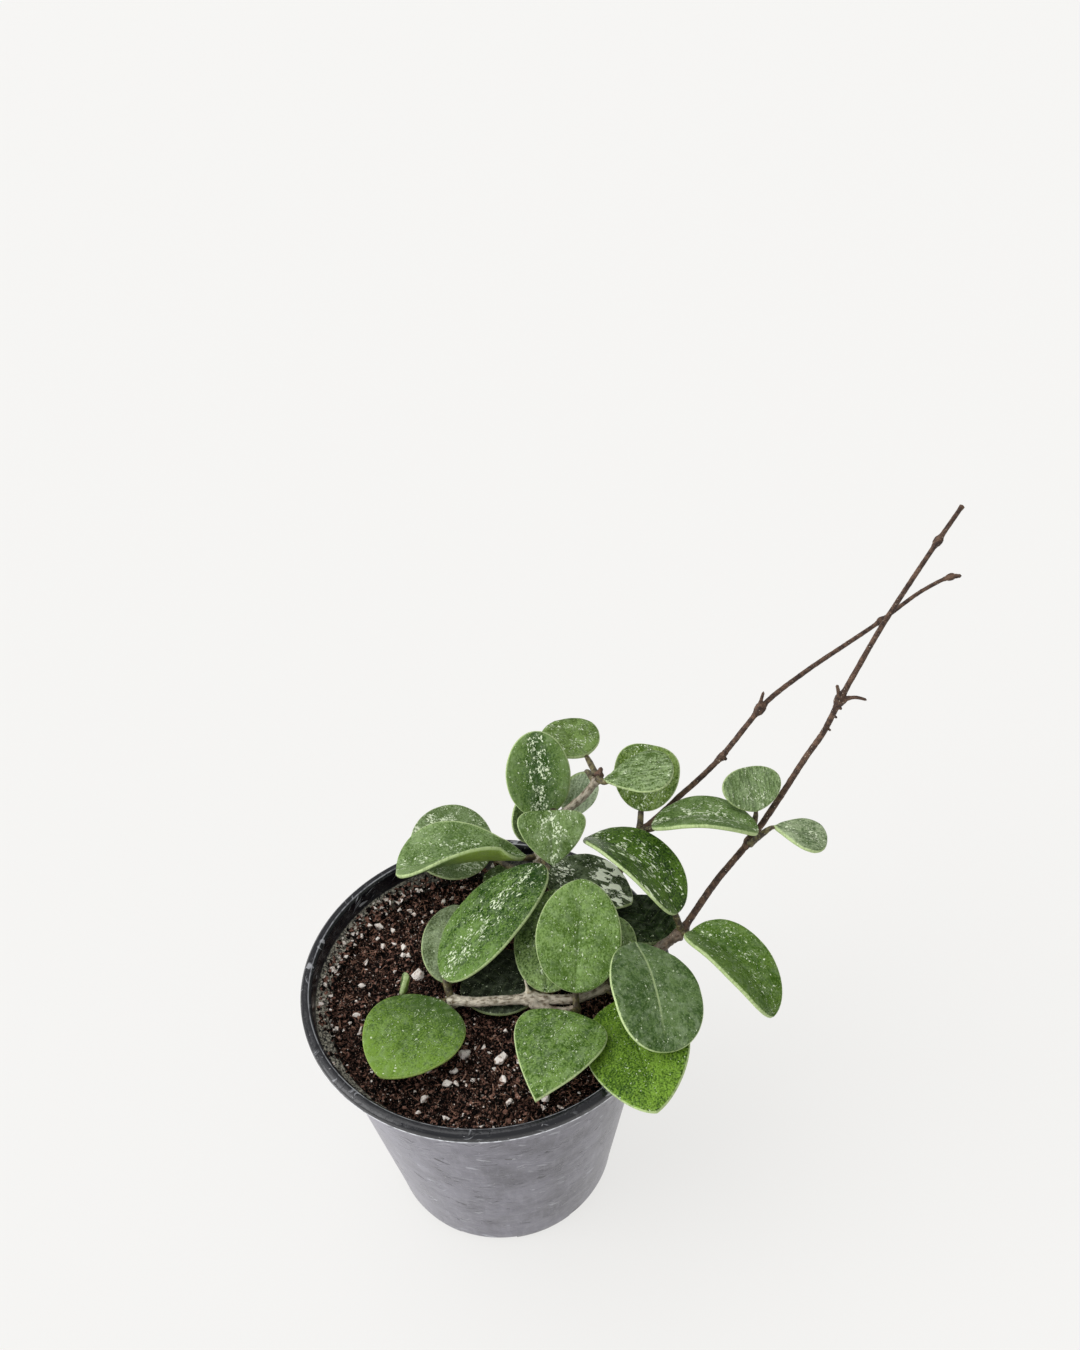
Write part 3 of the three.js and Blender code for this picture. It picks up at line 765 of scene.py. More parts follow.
class Route:
    """A smooth curve through given points in millimetres, walked by its length."""

    def __init__(self, points: Iterable[Point], steps: int = 16) -> None:
        """Trace the curve.

        Args:
            points: The points that it passes through.
            steps: Steps traced between each two points.
        """
        knots = [Vector(point) for point in points]
        knots = [2 * knots[0] - knots[1], *knots, 2 * knots[-1] - knots[-2]]
        self.trace: list[Vector] = []
        for a, b, c, d in zip(knots, knots[1:], knots[2:], knots[3:]):
            self.trace += [self.span(a, b, c, d, i / steps) for i in range(steps)]
        self.trace.append(knots[-2])
        self.lengths = [0.0]
        for here, there in zip(self.trace, self.trace[1:]):
            self.lengths.append(self.lengths[-1] + (there - here).length)
        self.length = self.lengths[-1]
        self.frames = self.carry()
        self.known: dict[float, tuple[Vector, Vector, Vector]] = {}

    @staticmethod
    def span(a: Vector, b: Vector, c: Vector, d: Vector, share: float) -> Vector:
        """Give a point of the curve through four knots.

        Args:
            a: The knot before the span.
            b: The knot where the span starts.
            c: The knot where it ends.
            d: The knot after it.
            share: How far the point lies from b to c.

        Returns:
            The point.
        """
        first, middle, last = (max(math.sqrt((q - p).length), 1e-4) for p, q in ((a, b), (b, c), (c, d)))
        start = ((b - a) / first - (c - a) / (first + middle) + (c - b) / middle) * middle
        end = ((c - b) / middle - (d - b) / (middle + last) + (d - c) / last) * middle
        bend = 3 * (c - b) - 2 * start - end
        twist = 2 * (b - c) + start + end
        return b + start * share + bend * share ** 2 + twist * share ** 3

    def carry(self) -> list[tuple[Vector, Vector]]:
        """Carry two side directions along the curve without twist.

        Returns:
            Both directions at each traced point.
        """
        frames = []
        side = None
        for i, point in enumerate(self.trace):
            ahead = self.trace[min(i + 1, len(self.trace) - 1)] - self.trace[max(i - 1, 0)]
            ahead.normalize()
            if side is None:
                side = ahead.orthogonal()
            side = (side - ahead * side.dot(ahead)).normalized()
            frames.append((side, ahead.cross(side)))
        return frames

    def at(self, share: float) -> tuple[Vector, Vector, Vector]:
        """Find a place on the curve.

        Args:
            share: Share of the curve's length.

        Returns:
            The centre and two side directions.
        """
        if share not in self.known:
            goal = share * self.length
            low = min(bisect_right(self.lengths, goal), len(self.lengths) - 1) - 1
            part = (goal - self.lengths[low]) / (self.lengths[low + 1] - self.lengths[low])
            ends = zip((self.trace[low], *self.frames[low]), (self.trace[low + 1], *self.frames[low + 1]))
            self.known[share] = tuple(start.lerp(end, part) for start, end in ends)
        return self.known[share]


def tube(mesh: Mesh, route: Route, rings: int, sides: int,
         size: Callable[[Vector, float, float, Vert], float], material: int = 0) -> None:
    """Skin a route.

    Args:
        mesh: The mesh that it is added to.
        route: The route.
        rings: Steps from end to end.
        sides: Steps round.
        size: Gives the radius in millimetres for a centre, its share of the route, a turn and a
            vertex, and may write attributes on the vertex.
        material: The number of the faces' material.
    """
    first = len(mesh.faces)

    def skin(share: float, turn: float, vert: Vert) -> Vector:
        """Give a point of the skin, as ball asks for it."""
        centre, side, other = route.at(share)
        out = side * math.cos(turn) + other * math.sin(turn)
        return centre + out * size(centre, share, turn, vert)

    ball(mesh, rings, sides, skin)
    mesh.faces.ensure_lookup_table()
    for face in mesh.faces[first:]:
        face.material_index = material


# ---- Leaves ----


class Form(Enum):
    """Outline of a blade: how slowly it widens from the base, and how slowly it closes."""

    ROUND = (0.5, 0.501)
    OVAL = (0.52, 0.58)
    OVATE = (0.5, 0.68)
    POINTED = (0.36, 1.0)
    BROAD = (0.62, 0.46)
    SPOON = (1.0, 0.5)
    HEART = (0.24, 0.92)
    TROUGH = (0.9, 0.5)
    SPADE = (0.5, 0.34)
    EGG = (0.42, 0.58)


@dataclass(frozen=True)
class Station:
    """What all points of one ring of a blade share, in millimetres."""

    reach: float  # share of the midrib
    half: float  # half of the blade's width
    slant: float  # how far the outline leans to the midrib, 1 where they are parallel
    point: Vector
    out: Vector


@dataclass
class Leaf:
    """One leaf: a thick blade on an arched midrib, and its stalk. Millimetres and degrees."""

    name: str
    node: Point  # where the stalk starts, in the stem's swelling
    base: Point
    tip: Point
    form: Form
    width: float
    roll: float  # of the face, about the line from base to tip
    arch: float  # of the midrib, downwards
    fold: float = 0.0  # how far both halves lift from the midrib
    cup: float = 0.0  # how much more they lift at the margin
    opens: float = 0.0  # share by which the lift is steeper near the base and flatter at the tip
    finish: LeafFinish = field(default_factory=LeafFinish)
    rings: int = 96
    sides: int = 72
    rib_thickness: float = 2.0
    margin_thickness: float = 1.25
    nose: float = 0.6  # radius of the rounded margin
    stalk_radius: float = 0.95
    stalk_sink: float = 0.4
    stalk_steps: tuple[int, int] = (40, 14)  # along and round
    stalk_joins: tuple[float, ...] = (0.0, 0.08, 0.24)  # shares of the midrib that it runs under
    wave: float = 0.3  # how far the blade undulates
    crease: float = 0.09  # how softly the two halves meet, as a share of the half width
    groove: tuple[float, float] = (0.28, 0.7)  # depth and half width, above the midrib
    keel: tuple[float, float] = (0.35, 1.1)  # and of the ridge below it
    hair_pitch: float = 0.4  # between two hairs on the margin
    hair_radii: tuple[float, float] = (0.07, 0.01)  # at its foot and its tip
    hair_length: tuple[float, float] = (0.3, 0.7)

    def __post_init__(self) -> None:
        """Work out the midrib's arc and the blade's own directions."""
        self.seed = sum(map(ord, self.name)) % 89 / 7
        chord = Vector(self.tip) - Vector(self.base)
        self.along = chord.normalized()
        level = math.hypot(self.along.x, self.along.y)
        upright = Vector((-self.along.x * self.along.z, -self.along.y * self.along.z, level ** 2))
        upright /= level
        roll = math.radians(self.roll)
        self.face = upright * math.cos(roll) + upright.cross(self.along) * math.sin(roll)
        self.across = self.face.cross(self.along)
        self.bend = math.radians(self.arch)
        self.radius = chord.length / (2 * math.sin(self.bend / 2))
        self.length = self.radius * self.bend
        self.centre = Vector(self.base) + chord / 2 - self.face * (self.radius * math.cos(self.bend / 2))
        self.known: dict[float, Station] = {}

    def rib(self, share: float) -> tuple[Vector, Vector]:
        """Give the point on the midrib and the direction out of the blade there."""
        turn = (share - 0.5) * self.bend
        out = self.face * math.cos(turn) + self.along * math.sin(turn)
        return self.centre + out * self.radius, out

    def half_width(self, share: float) -> float:
        """Work out the blade's outline.

        Args:
            share: Share of the blade's length.

        Returns:
            Half of the width there.
        """
        if not 0 < share < 1:
            return 0.0
        rise, close = self.form.value
        widest = rise / (rise + close)
        plain = self.width / 2 * (share / widest) ** rise * ((1 - share) / (1 - widest)) ** close
        return plain * (1 + 0.02 * ripple(share * 4.0, self.seed, 3.1))

    def station(self, ring: float) -> Station:
        """Work out what all points of one ring share, where the rings crowd towards both ends.

        Args:
            ring: Share of the way from pole to pole.

        Returns:
            The station.
        """
        if ring not in self.known:
            reach = (1 - math.cos(math.pi * ring)) / 2
            step, end = 0.004, 1e-5
            low, high = max(reach - step, end), min(reach + step, 1 - end)
            rise = (self.half_width(high) - self.half_width(low)) / ((high - low) * self.length)
            slant = 1 / math.hypot(1, rise)
            self.known[ring] = Station(reach, self.half_width(reach), slant, *self.rib(reach))
        return self.known[ring]

    def place(self, ring: float, turn: float) -> tuple[Vector, float, float, float]:
        """Give a point of the blade's skin.

        Args:
            ring: Share of the way from pole to pole.
            turn: Angle round the section, with the upper face between 0 and pi.

        Returns:
            The point, its share of the length, its share of the half width and its distance from
            the margin, in millimetres.
        """
        here = self.station(ring)
        reach, lane = here.reach, math.cos(turn)
        size = abs(lane)
        margin = (1 - size) * here.half * here.slant
        steep = (1 + self.opens * (1 - 2 * reach)) * min(1.0, 5 * reach) if self.opens else 1.0
        lift = math.radians((self.fold + self.cup * size / 2) * steep)
        soft = math.sqrt(size * size + self.crease * self.crease) - self.crease
        along, away = reach * self.length, lane * here.half
        wave = ripple(along / 11, lane * 1.3, self.seed) * self.wave * (0.3 + size)
        middle = here.point + self.across * (away * math.cos(lift))
        middle += here.out * (soft * here.half * math.sin(lift) + wave * ramp(reach, 0.0, 0.2))
        normal = here.out * math.cos(lift)
        normal -= self.across * (math.copysign(1.0, lane) * math.sin(lift) * soft / max(size, 0.05))
        normal.normalize()
        edge = dome(margin / self.nose)
        thick = lerp(self.rib_thickness, self.margin_thickness, lane * lane) / 2 * edge
        depth = ramp(reach, 0.0, 0.12) * (1 - ramp(reach, 0.7, 0.97))
        if math.sin(turn) >= 0:
            thick -= self.groove[0] * bell(away, self.groove[1]) * depth
            swell = ripple(along / 3.2, away / 3.2, self.seed + 9)
            fold = ripple(along / 9, away / 1.3, self.seed + 4)
            thick += (0.16 * swell + self.finish.wrinkles * 0.7 * fold) * edge
        else:
            thick = -thick - self.keel[0] * bell(away, self.keel[1]) * depth
        return middle + normal * thick, reach, lane, margin

    def fringe(self, mesh: Mesh) -> None:
        """Set short hairs along the blade's margin.

        Args:
            mesh: The leaf's mesh.
        """
        blade, spot = (mesh.verts.layers.float_vector[name] for name in ("blade", "spot"))
        draw = Draw(int(self.seed * 7))
        foot, tip = self.hair_radii
        for _ in range(round(2 * self.length / self.hair_pitch)):
            ring, side = draw.uniform(0.1, 0.97), draw.choice((1, -1))
            turn = math.acos(side) + draw.uniform(-0.3, 0.3)
            point, reach, lane, _ = self.place(ring, turn)
            ahead = self.place(ring + 0.01, turn)[0] - self.place(ring - 0.01, turn)[0]
            away = ahead.cross(self.station(ring).out).normalized() * side
            away = (away + Vector([draw.uniform(-0.4, 0.4) for _ in range(3)])).normalized()
            long = draw.uniform(*self.hair_length)
            matrix = Matrix.Translation((point + away * (0.4 * long)) * MM)
            matrix = matrix @ away.to_track_quat("Z", "Y").to_matrix().to_4x4()
            made = bmesh.ops.create_cone(mesh, cap_ends=True, segments=3, radius1=foot * MM,
                                         radius2=tip * MM, depth=long * MM, matrix=matrix)
            for vert in made["verts"]:
                vert[blade] = (reach * self.length, lane * self.station(ring).half, 0.0)
                vert[spot] = (reach, lane, 0.0)

    def build(self) -> Piece:
        """Build the leaf's piece in place of its node.

        Returns:
            The piece.
        """
        mesh = bmesh.new()
        for layer in ("blade", "spot"):
            mesh.verts.layers.float_vector.new(layer)
        blade, spot = (mesh.verts.layers.float_vector[name] for name in ("blade", "spot"))
        self.fringe(mesh)

        def flesh(ring: float, turn: float, vert: Vert) -> Vector:
            """Give a point of the blade as ball asks for it, and write on the vertex where it lies."""
            point, reach, lane, margin = self.place(ring, turn)
            vert[blade] = (reach * self.length, lane * self.station(ring).half, margin)
            vert[spot] = (reach, lane, math.sin(turn))
            return point

        ball(mesh, self.rings, self.sides, flesh)
        under = [point - out * self.stalk_sink for point, out in map(self.rib, self.stalk_joins)]
        route = Route([self.node, *under])

        def stalk(centre: Vector, share: float, turn: float, _: Vert) -> float:
            """Give the stalk's radius as tube asks for it: thick at the stem, fading under the blade."""
            lump = 1 + 0.08 * noise.noise(centre * 0.8 + Vector((math.cos(turn), math.sin(turn), 0)))
            size = self.stalk_radius * lump * (1 - 0.65 * ramp(share, 0.45, 1.0))
            size *= math.sqrt(max(0.0, 1 - max(0.0, share / 0.25 - 3) ** 2))
            return size * (1 + 0.35 * bell(share * route.length, 1.6))

        tube(mesh, route, *self.stalk_steps, stalk, 1)
        mend(mesh)
        finishes = [self.finish.dress(f"{self.name}_skin", self.seed),
                    self.finish.dress_stalk(f"{self.name}_stalk")]
        return show(f"{self.name}_blade", mesh, finishes, self.name)


# ---- Stems ----


@dataclass
class Run:
    """A stretch of stem: its route, its radius at both ends and how pale its bark is there."""

    route: list[Point]
    radii: tuple[float, float]
    pale: tuple[float, float] = (0.0, 0.0)
    root: bool = False  # a whitish aerial root


@dataclass
class Stem:
    """A woody stem with side shoots, swollen nodes, dried stubs and roots, in millimetres."""

    name: str
    runs: list[Run]
    nodes: list[tuple[Point, float]]
    spurs: list[Run]
    ring_pitch: float = 0.55
    sides: int = 22
    collar: tuple[float, float] = (0.16, 0.28)  # height and width of the ring beside a swelling

    def radius_at(self, run: Run, centre: Vector, share: float) -> float:
        """Work out the radius of a run, with the swellings that it passes through.

        Args:
            run: The run.
            centre: A point in its middle.
            share: That point's share of the run.

        Returns:
            The radius.
        """
        size = lerp(*run.radii, share)
        for place, swollen in self.nodes:
            away = (centre - Vector(place)).length
            if away < 3 * swollen:
                size += max(0.0, swollen * 0.98 - size) * math.exp(-((away / (1.05 * swollen)) ** 4))
                size += self.collar[0] * bell(away - 1.5 * swollen, self.collar[1])
        return size

    def grow(self, mesh: Mesh, run: Run, sides: int) -> None:
        """Add one run to the mesh.

        Args:
            mesh: The stem's mesh.
            run: The run.
            sides: Steps round it.
        """
        bark = mesh.verts.layers.float_vector["bark"]
        route = Route(run.route)

        def girth(centre: Vector, share: float, turn: float, vert: Vert) -> float:
            """Give the radius as tube asks for it, and write on the vertex where it lies."""
            rough = noise.noise(centre * 0.9 + Vector((math.cos(turn), math.sin(turn), 0.0)) * 0.9)
            size = self.radius_at(run, centre, share) * (1 + 0.1 * rough)
            vert[bark] = (share * route.length, math.sin(turn), lerp(*run.pale, share))
            return size * dome(min(share, 1 - share) * route.length / (0.8 * size))

        rings = max(10, round(route.length / self.ring_pitch))
        tube(mesh, route, rings, sides, girth, int(run.root))

    def build(self) -> Piece:
        """Build the stem's piece in place of its node.

        Returns:
            The piece.
        """
        mesh = bmesh.new()
        mesh.verts.layers.float_vector.new("bark")
        for run in self.runs:
            self.grow(mesh, run, self.sides)
        for spur in self.spurs:
            self.grow(mesh, spur, self.sides // 2)
        mend(mesh)
        finishes = [BarkFinish().dress(f"{self.name}_bark"), RootFinish().dress(f"{self.name}_root")]
        return show(f"{self.name}_bark", mesh, finishes, self.name)


# ---- Pot and soil ----


@dataclass
class Pot:
    """The round tapered nursery pot, in millimetres."""

    height: float = 90.0
    rim_radius: float = 55.0
    rim_inner_radius: float = 51.7
    lip_depth: float = 4.0  # from top to bottom
    skirt_radius: float = 52.5
    ledge_height: float = 81.4
    body_top_radius: float = 49.2
    body_foot_radius: float = 35.9
    foot_radius: float = 33.5
    foot_corner: float = 6.0
    wall: float = 1.2
    floor: float = 4.0
    sides: int = 240
    feet: int = 6
    recess: float = 2.3  # how high the foot is raised between two feet,
    recess_radius: float = 22.0  # from this radius outwards,
    recess_share: float = 0.5  # over this share of the way round,
    first_angle: float = 245.0  # starting here, in degrees
    drain_radius: float = 3.5
    drain_ring: float = 28.5  # distance of the drain holes from the axis
    soft_corner: float = 0.35
    lip_round: float = 0.9

    def inner_radius(self, height: float) -> float:
        """Give the inside radius of the tapering wall at a height."""
        rise = (height - self.foot_corner) / (self.ledge_height - self.foot_corner)
        return lerp(self.body_foot_radius, self.body_top_radius, rise) - self.wall

    def profile(self) -> list[tuple[float, float]]:
        """List the wall's section.

        Returns:
            Radius and height of its corners, from the axis out and back.
        """
        lip, cut = self.height - self.lip_depth, self.lip_round
        outside = [
            (0, 0), (self.foot_radius, 0), (self.foot_radius + 1.3, 0.9),
            (self.body_foot_radius - 0.4, 3), (self.body_foot_radius, self.foot_corner),
            (self.body_top_radius, self.ledge_height - 0.6), (self.skirt_radius, lip - 2.4),
            (self.skirt_radius, lip), (self.rim_radius - cut, lip), (self.rim_radius, lip + cut),
            (self.rim_radius, self.height - cut), (self.rim_radius - cut, self.height),
        ]
        foot = self.inner_radius(self.foot_corner)
        inside = [
            (self.rim_inner_radius + cut, self.height), (self.rim_inner_radius, self.height - cut),
            (self.rim_inner_radius - 0.4, self.ledge_height + 2.2),
            (self.inner_radius(self.ledge_height), self.ledge_height),
            (foot, self.foot_corner), (foot - 1.8, self.floor), (0, self.floor),
        ]
        return outside + inside

    def turned(self) -> Mesh:
        """Spin the section into the shell and round its corners.

        Returns:
            The shell.
        """
        mesh = bmesh.new()
        verts = [mesh.verts.new((radius * MM, 0, height * MM)) for radius, height in self.profile()]
        edges = [mesh.edges.new(pair) for pair in zip(verts, verts[1:])]
        bmesh.ops.spin(mesh, geom=verts + edges, cent=(0, 0, 0), axis=(0, 0, 1), angle=TURN,
                       steps=self.sides, use_merge=True)
        bmesh.ops.remove_doubles(mesh, verts=mesh.verts, dist=1e-6)
        mend(mesh)
        soften(mesh, [edge for edge in mesh.edges if edge.is_manifold
                      and edge.calc_face_angle(0) > math.radians(12)
                      and abs(edge.verts[0].co.z - edge.verts[1].co.z) < 1e-6], self.soft_corner, 3)
        for height in (self.foot_corner + 1.5, self.ledge_height - 2.5, 30.0, 55.0):
            bmesh.ops.bisect_plane(mesh, geom=[*mesh.verts, *mesh.edges, *mesh.faces],
                                   plane_co=(0, 0, height * MM), plane_no=(0, 0, 1), dist=1e-7)
        return mesh

    def cutters(self) -> Mesh:
        """Make the drain holes and the recesses between the feet, as solids to cut away.

        Returns:
            One mesh that holds them all.
        """
        mesh = bmesh.new()
        pitch = TURN / self.feet
        width = pitch * self.recess_share
        bore = self.drain_radius * MM
        below = -2.0  # how low the cutters reach
        for i in range(self.feet):
            start = math.radians(self.first_angle) + i * pitch
            middle = start + width / 2
            spot = Vector((math.cos(middle), math.sin(middle), 0)) * self.drain_ring * MM
            bmesh.ops.create_cone(mesh, cap_ends=True, segments=48, radius1=bore, radius2=bore,
                                  depth=4 * self.floor * MM, matrix=Matrix.Translation(spot))
            section = [(self.recess_radius, below), (self.rim_radius, below),
                       (self.rim_radius, self.recess), (self.recess_radius, self.recess)]
            turn = Matrix.Rotation(start, 4, "Z")
            corners = [mesh.verts.new(turn @ Vector((r * MM, 0, z * MM))) for r, z in section]
            rim = [mesh.edges.new((a, b)) for a, b in zip(corners, corners[1:] + corners[:1])]
            bmesh.ops.spin(mesh, geom=corners + rim, cent=(0, 0, 0), axis=(0, 0, 1), angle=width,
                           steps=16)
            ends = [edge for edge in mesh.edges if edge.is_boundary]
            bmesh.ops.holes_fill(mesh, edges=ends, sides=4)
        mend(mesh)
        return mesh

    def build(self) -> Piece:
        """Build the pot's piece in place of its node.

        Returns:
            The piece.
        """
        piece = show("pot_shell", self.turned(), [PotFinish().dress("pot_plastic")], "pot")
        tool = settle("pot_cuts", self.cutters())
        cut = piece.modifiers.new("cuts", "BOOLEAN")
        cut.operation = "DIFFERENCE"
        cut.solver = "EXACT"
        cut.use_self = True
        cut.object = tool
        depsgraph = bpy.context.evaluated_depsgraph_get()
        whole = bpy.data.meshes.new_from_object(piece.evaluated_get(depsgraph))
        piece.modifiers.clear()
        piece.data = whole
        bpy.data.objects.remove(tool)
        crisp(piece, 40)
        return piece


@dataclass
class Soil:
    """The bed of peat with its crumbs, fibres and perlite, in millimetres."""

    pot: Pot
    level: float = 80.0
    swell: float = 0.9  # height of its gentle waves
    edge_drop: float = 1.0  # how much lower it is at the wall
    room: float = 0.42  # left between it and the wall
    crumbs: int = 5600
    fibres: int = 1700
    grit: int = 520
    debris: int = 1300  # crumbs on the ledge
    chips: list[Point] = field(default_factory=list)  # place on the surface, and radius
    seed: int = 41
    bed_steps: tuple[int, int] = (130, 260)  # from pole to pole and round
    ledge_side: tuple[float, float] = (140, 32)  # middle and spread of the peat on the ledge, in degrees
    crumb_size: tuple[float, float] = (0.26, 1.0)  # the least, and what the largest adds
    chip_size: tuple[float, float] = (0.24, 0.95)
    fibre_length: tuple[float, float] = (1.6, 6.5)
    fibre_radius: tuple[float, float] = (0.07, 0.15)

    def height(self, x: float, y: float) -> float:
        """Work out the soil's level over a point.

        Args:
            x: The point's place across.
            y: The point's place from front to back.

        Returns:
            The height.
        """
        reach = min(1.0, math.hypot(x, y) / self.pot.inner_radius(self.level))
        waves = math.sin(x / 4.1 + 1) * math.cos(y / 3.3) + 0.6 * math.sin(x / 2.3 - y / 2.9)
        return self.level - self.edge_drop * reach ** 2 + self.swell * waves * (1 - reach ** 6)

    @property
    def edge(self) -> float:
        """Give the radius where the soil meets the wall."""
        return self.pot.inner_radius(self.level - self.edge_drop) - self.room

    def bed(self) -> Piece:
        """Build the body of soil, rough on top and plain where the pot holds it.

        Returns:
            The piece.
        """
        foot = self.pot.inner_radius(self.pot.foot_corner) - self.room
        corners = [(self.edge, self.level - self.edge_drop), (foot, self.pot.foot_corner),
                   (foot - 2, self.pot.floor + 0.3), (0.0, self.pot.floor + 0.3)]
        top = 0.8  # share of the rings that lie on the surface

        def skin(share: float, turn: float, _: Vert) -> Vector:
            """Give a point of the soil's skin as ball asks for it, from the bottom to the top."""
            back = 1 - share
            if back <= top:
                radius = self.edge * back / top
                x, y = radius * math.cos(turn), radius * math.sin(turn)
                inner = 1 - ramp(radius, self.edge - 1.2, self.edge)
                rough = noise.turbulence(Vector((x / 2.1, y / 2.1, 5.0)), 4, False) - 0.55
                pits = ripple(x / 5.0, y / 5.0, 2.0)
                return Vector((x, y, self.height(x, y) + (rough * 1.3 + pits * 0.9 - 0.35) * inner))
            walk = (back - top) / (1 - top) * (len(corners) - 1)
            i = min(int(walk), len(corners) - 2)
            radius, height = (lerp(*pair, walk - i) for pair in zip(corners[i], corners[i + 1]))
            return Vector((radius * math.cos(turn), radius * math.sin(turn), height))

        mesh = bmesh.new()
        ball(mesh, *self.bed_steps, skin)
        mend(mesh)
        return show("soil_bed", mesh, [PeatFinish().dress("peat")], "soil")

    def on_bed(self, draw: Draw) -> Vector:
        """Draw a place on the soil.

        Args:
            draw: The random draw.

        Returns:
            The place.
        """
        radius = (self.edge - 1.2) * math.sqrt(draw.random())
        turn = draw.uniform(0, TURN)
        x, y = radius * math.cos(turn), radius * math.sin(turn)
        return Vector((x, y, self.height(x, y)))

    def on_ledge(self, draw: Draw) -> Vector:
        """Draw a place on the pot's inner ledge, where watering left peat behind.

        Args:
            draw: The random draw.

        Returns:
            The place, mostly at the left and the back.
        """
        rise = draw.random() ** 1.5
        radius = lerp(self.edge - 0.4, self.pot.rim_inner_radius - 1.0, rise)
        turn = math.radians(draw.gauss(*self.ledge_side))
        height = lerp(self.pot.ledge_height - 1.2, self.pot.ledge_height + 1.5, rise)
        return Vector((radius * math.cos(turn), radius * math.sin(turn), height))

    def scatter(self, name: str, count: int, finish: Material, seed: int,
                add: Callable[[Mesh, Draw, Vector], None], find: Callable[[Draw], Vector],
                sharp: float = 0.0) -> Piece:
        """Scatter many small shapes over the soil, in batches, which is quicker.

        Args:
            name: The piece's name.
            count: How many shapes.
            finish: Their material.
            seed: What is added to the soil's seed for this draw.
            add: Adds one shape to a mesh at a place.
            find: Draws a place.
            sharp: The angle past which their edges stay crisp, or 0 for none.

        Returns:
            One piece that holds them all.
        """
        draw = Draw(self.seed + seed)
        whole = bmesh.new()
        heap = bpy.data.meshes.new(f"{name}_heap")
        batch = 120
        for start in range(0, count, batch):
            part = bmesh.new()
            for _ in range(min(batch, count - start)):
                add(part, draw, find(draw))
            part.to_mesh(heap)
            part.free()
            whole.from_mesh(heap)
        bpy.data.meshes.remove(heap)
        return show(name, whole, [finish], sharp=sharp)

    @staticmethod
    def lump(mesh: Mesh, draw: Draw, place: Vector, size: float, flat: float) -> None:
        """Add one irregular crumb.

        Args:
            mesh: The mesh that it is added to.
            draw: The random draw.
            place: Its middle, in millimetres.
            size: Its radius, in millimetres.
            flat: Its height as a share of its width.
        """
        turn = Matrix.Rotation(draw.uniform(0, ABOUT_A_TURN), 4, "Z")
        turn = turn @ Matrix.Rotation(draw.uniform(-0.6, 0.6), 4, "X")
        shape = Matrix.Diagonal((size, size * draw.uniform(0.45, 1.0), size * flat, 1.0))
        matrix = Matrix.Scale(MM, 4) @ Matrix.Translation(place) @ turn @ shape
        made = bmesh.ops.create_icosphere(mesh, subdivisions=1, radius=1.0, matrix=matrix)
        middle = place * MM
        for vert in made["verts"]:
            vert.co = middle + (vert.co - middle) * draw.uniform(0.62, 1.25)

    @staticmethod
    def stone(mesh: Mesh, draw: Draw, place: Vector, size: float, corners: int) -> None:
        """Add one angular chip: the hull of a few points on a squashed ball.

        Args:
            mesh: The mesh that it is added to.
            draw: The random draw.
            place: Its middle, in millimetres.
            size: Its radius, in millimetres.
            corners: How many points are drawn.
        """
        turn = Matrix.Rotation(draw.uniform(0, ABOUT_A_TURN), 3, "Z")
        shape = Vector((size * 1.1, size * draw.uniform(0.6, 0.9), size * 0.8))
        verts = []
        for _ in range(corners):
            spot = Vector([draw.gauss(0, 1) for _ in range(3)]).normalized()
            verts.append(mesh.verts.new((place + turn @ (spot * shape)) * MM))
        hull = bmesh.ops.convex_hull(mesh, input=verts)
        spare = [part for part in hull["geom_interior"] if isinstance(part, Vert)]
        bmesh.ops.delete(mesh, geom=spare, context="VERTS")

    def crumb(self, mesh: Mesh, draw: Draw, place: Vector) -> None:
        """Add a crumb of peat at a drawn place."""
        size = self.crumb_size[0] + self.crumb_size[1] * draw.random() ** 3.0
        self.lump(mesh, draw, place + Vector((0, 0, 0.3 * size)), size, draw.uniform(0.4, 0.9))

    def small_chip(self, mesh: Mesh, draw: Draw, place: Vector) -> None:
        """Add a small chip of perlite at a drawn place."""
        size = self.chip_size[0] + self.chip_size[1] * draw.random() ** 3.2
        self.stone(mesh, draw, place + Vector((0, 0, 0.25 + 0.3 * size)), size, 9)

    def strand(self, mesh: Mesh, draw: Draw, place: Vector) -> None:
        """Add a bent fibre that lies on the soil.

        Args:
            mesh: The mesh that it is added to.
            draw: The random draw.
            place: Its middle, in millimetres.
        """
        heading = draw.uniform(0, TURN)
        length = draw.uniform(*self.fibre_length)
        thick = draw.uniform(*self.fibre_radius)
        bow = draw.uniform(-0.35, 0.35) * length
        lift = draw.uniform(0.1, 0.5)
        ahead = Vector((math.cos(heading), math.sin(heading), 0))
        aside = Vector((-ahead.y, ahead.x, 0))
        bound = self.edge - 0.5

        def skin(share: float, turn: float, _: Vert) -> Vector:
            """Give a point of the fibre as ball asks for it."""
            off = share - 0.5
            centre = place + ahead * off * length + aside * bow * (0.25 - off * off) * 2
            reach = math.hypot(centre.x, centre.y)
            if reach > bound:
                centre *= bound / reach
            centre.z = self.height(centre.x, centre.y) + 0.35 + lift * (0.25 - off * off) * 4
            return centre + (aside * math.cos(turn) + Vector((0, 0, 1)) * math.sin(turn)) * thick

        ball(mesh, 5, 4, skin)

    def large_chips(self, perlite: Material) -> Piece:
        """Set the larger chips of perlite in their places.

        Args:
            perlite: Their material.

        Returns:
            One piece that holds them all.
        """
        draw = Draw(self.seed + 3)
        mesh = bmesh.new()
        for x, y, size in self.chips:
            self.stone(mesh, draw, Vector((x, y, self.height(x, y) + 0.3 * size)), size, 16)
        soften(mesh, mesh.edges, 0.22, 2)
        mend(mesh)
        return show("soil_chips", mesh, [perlite], sharp=40)

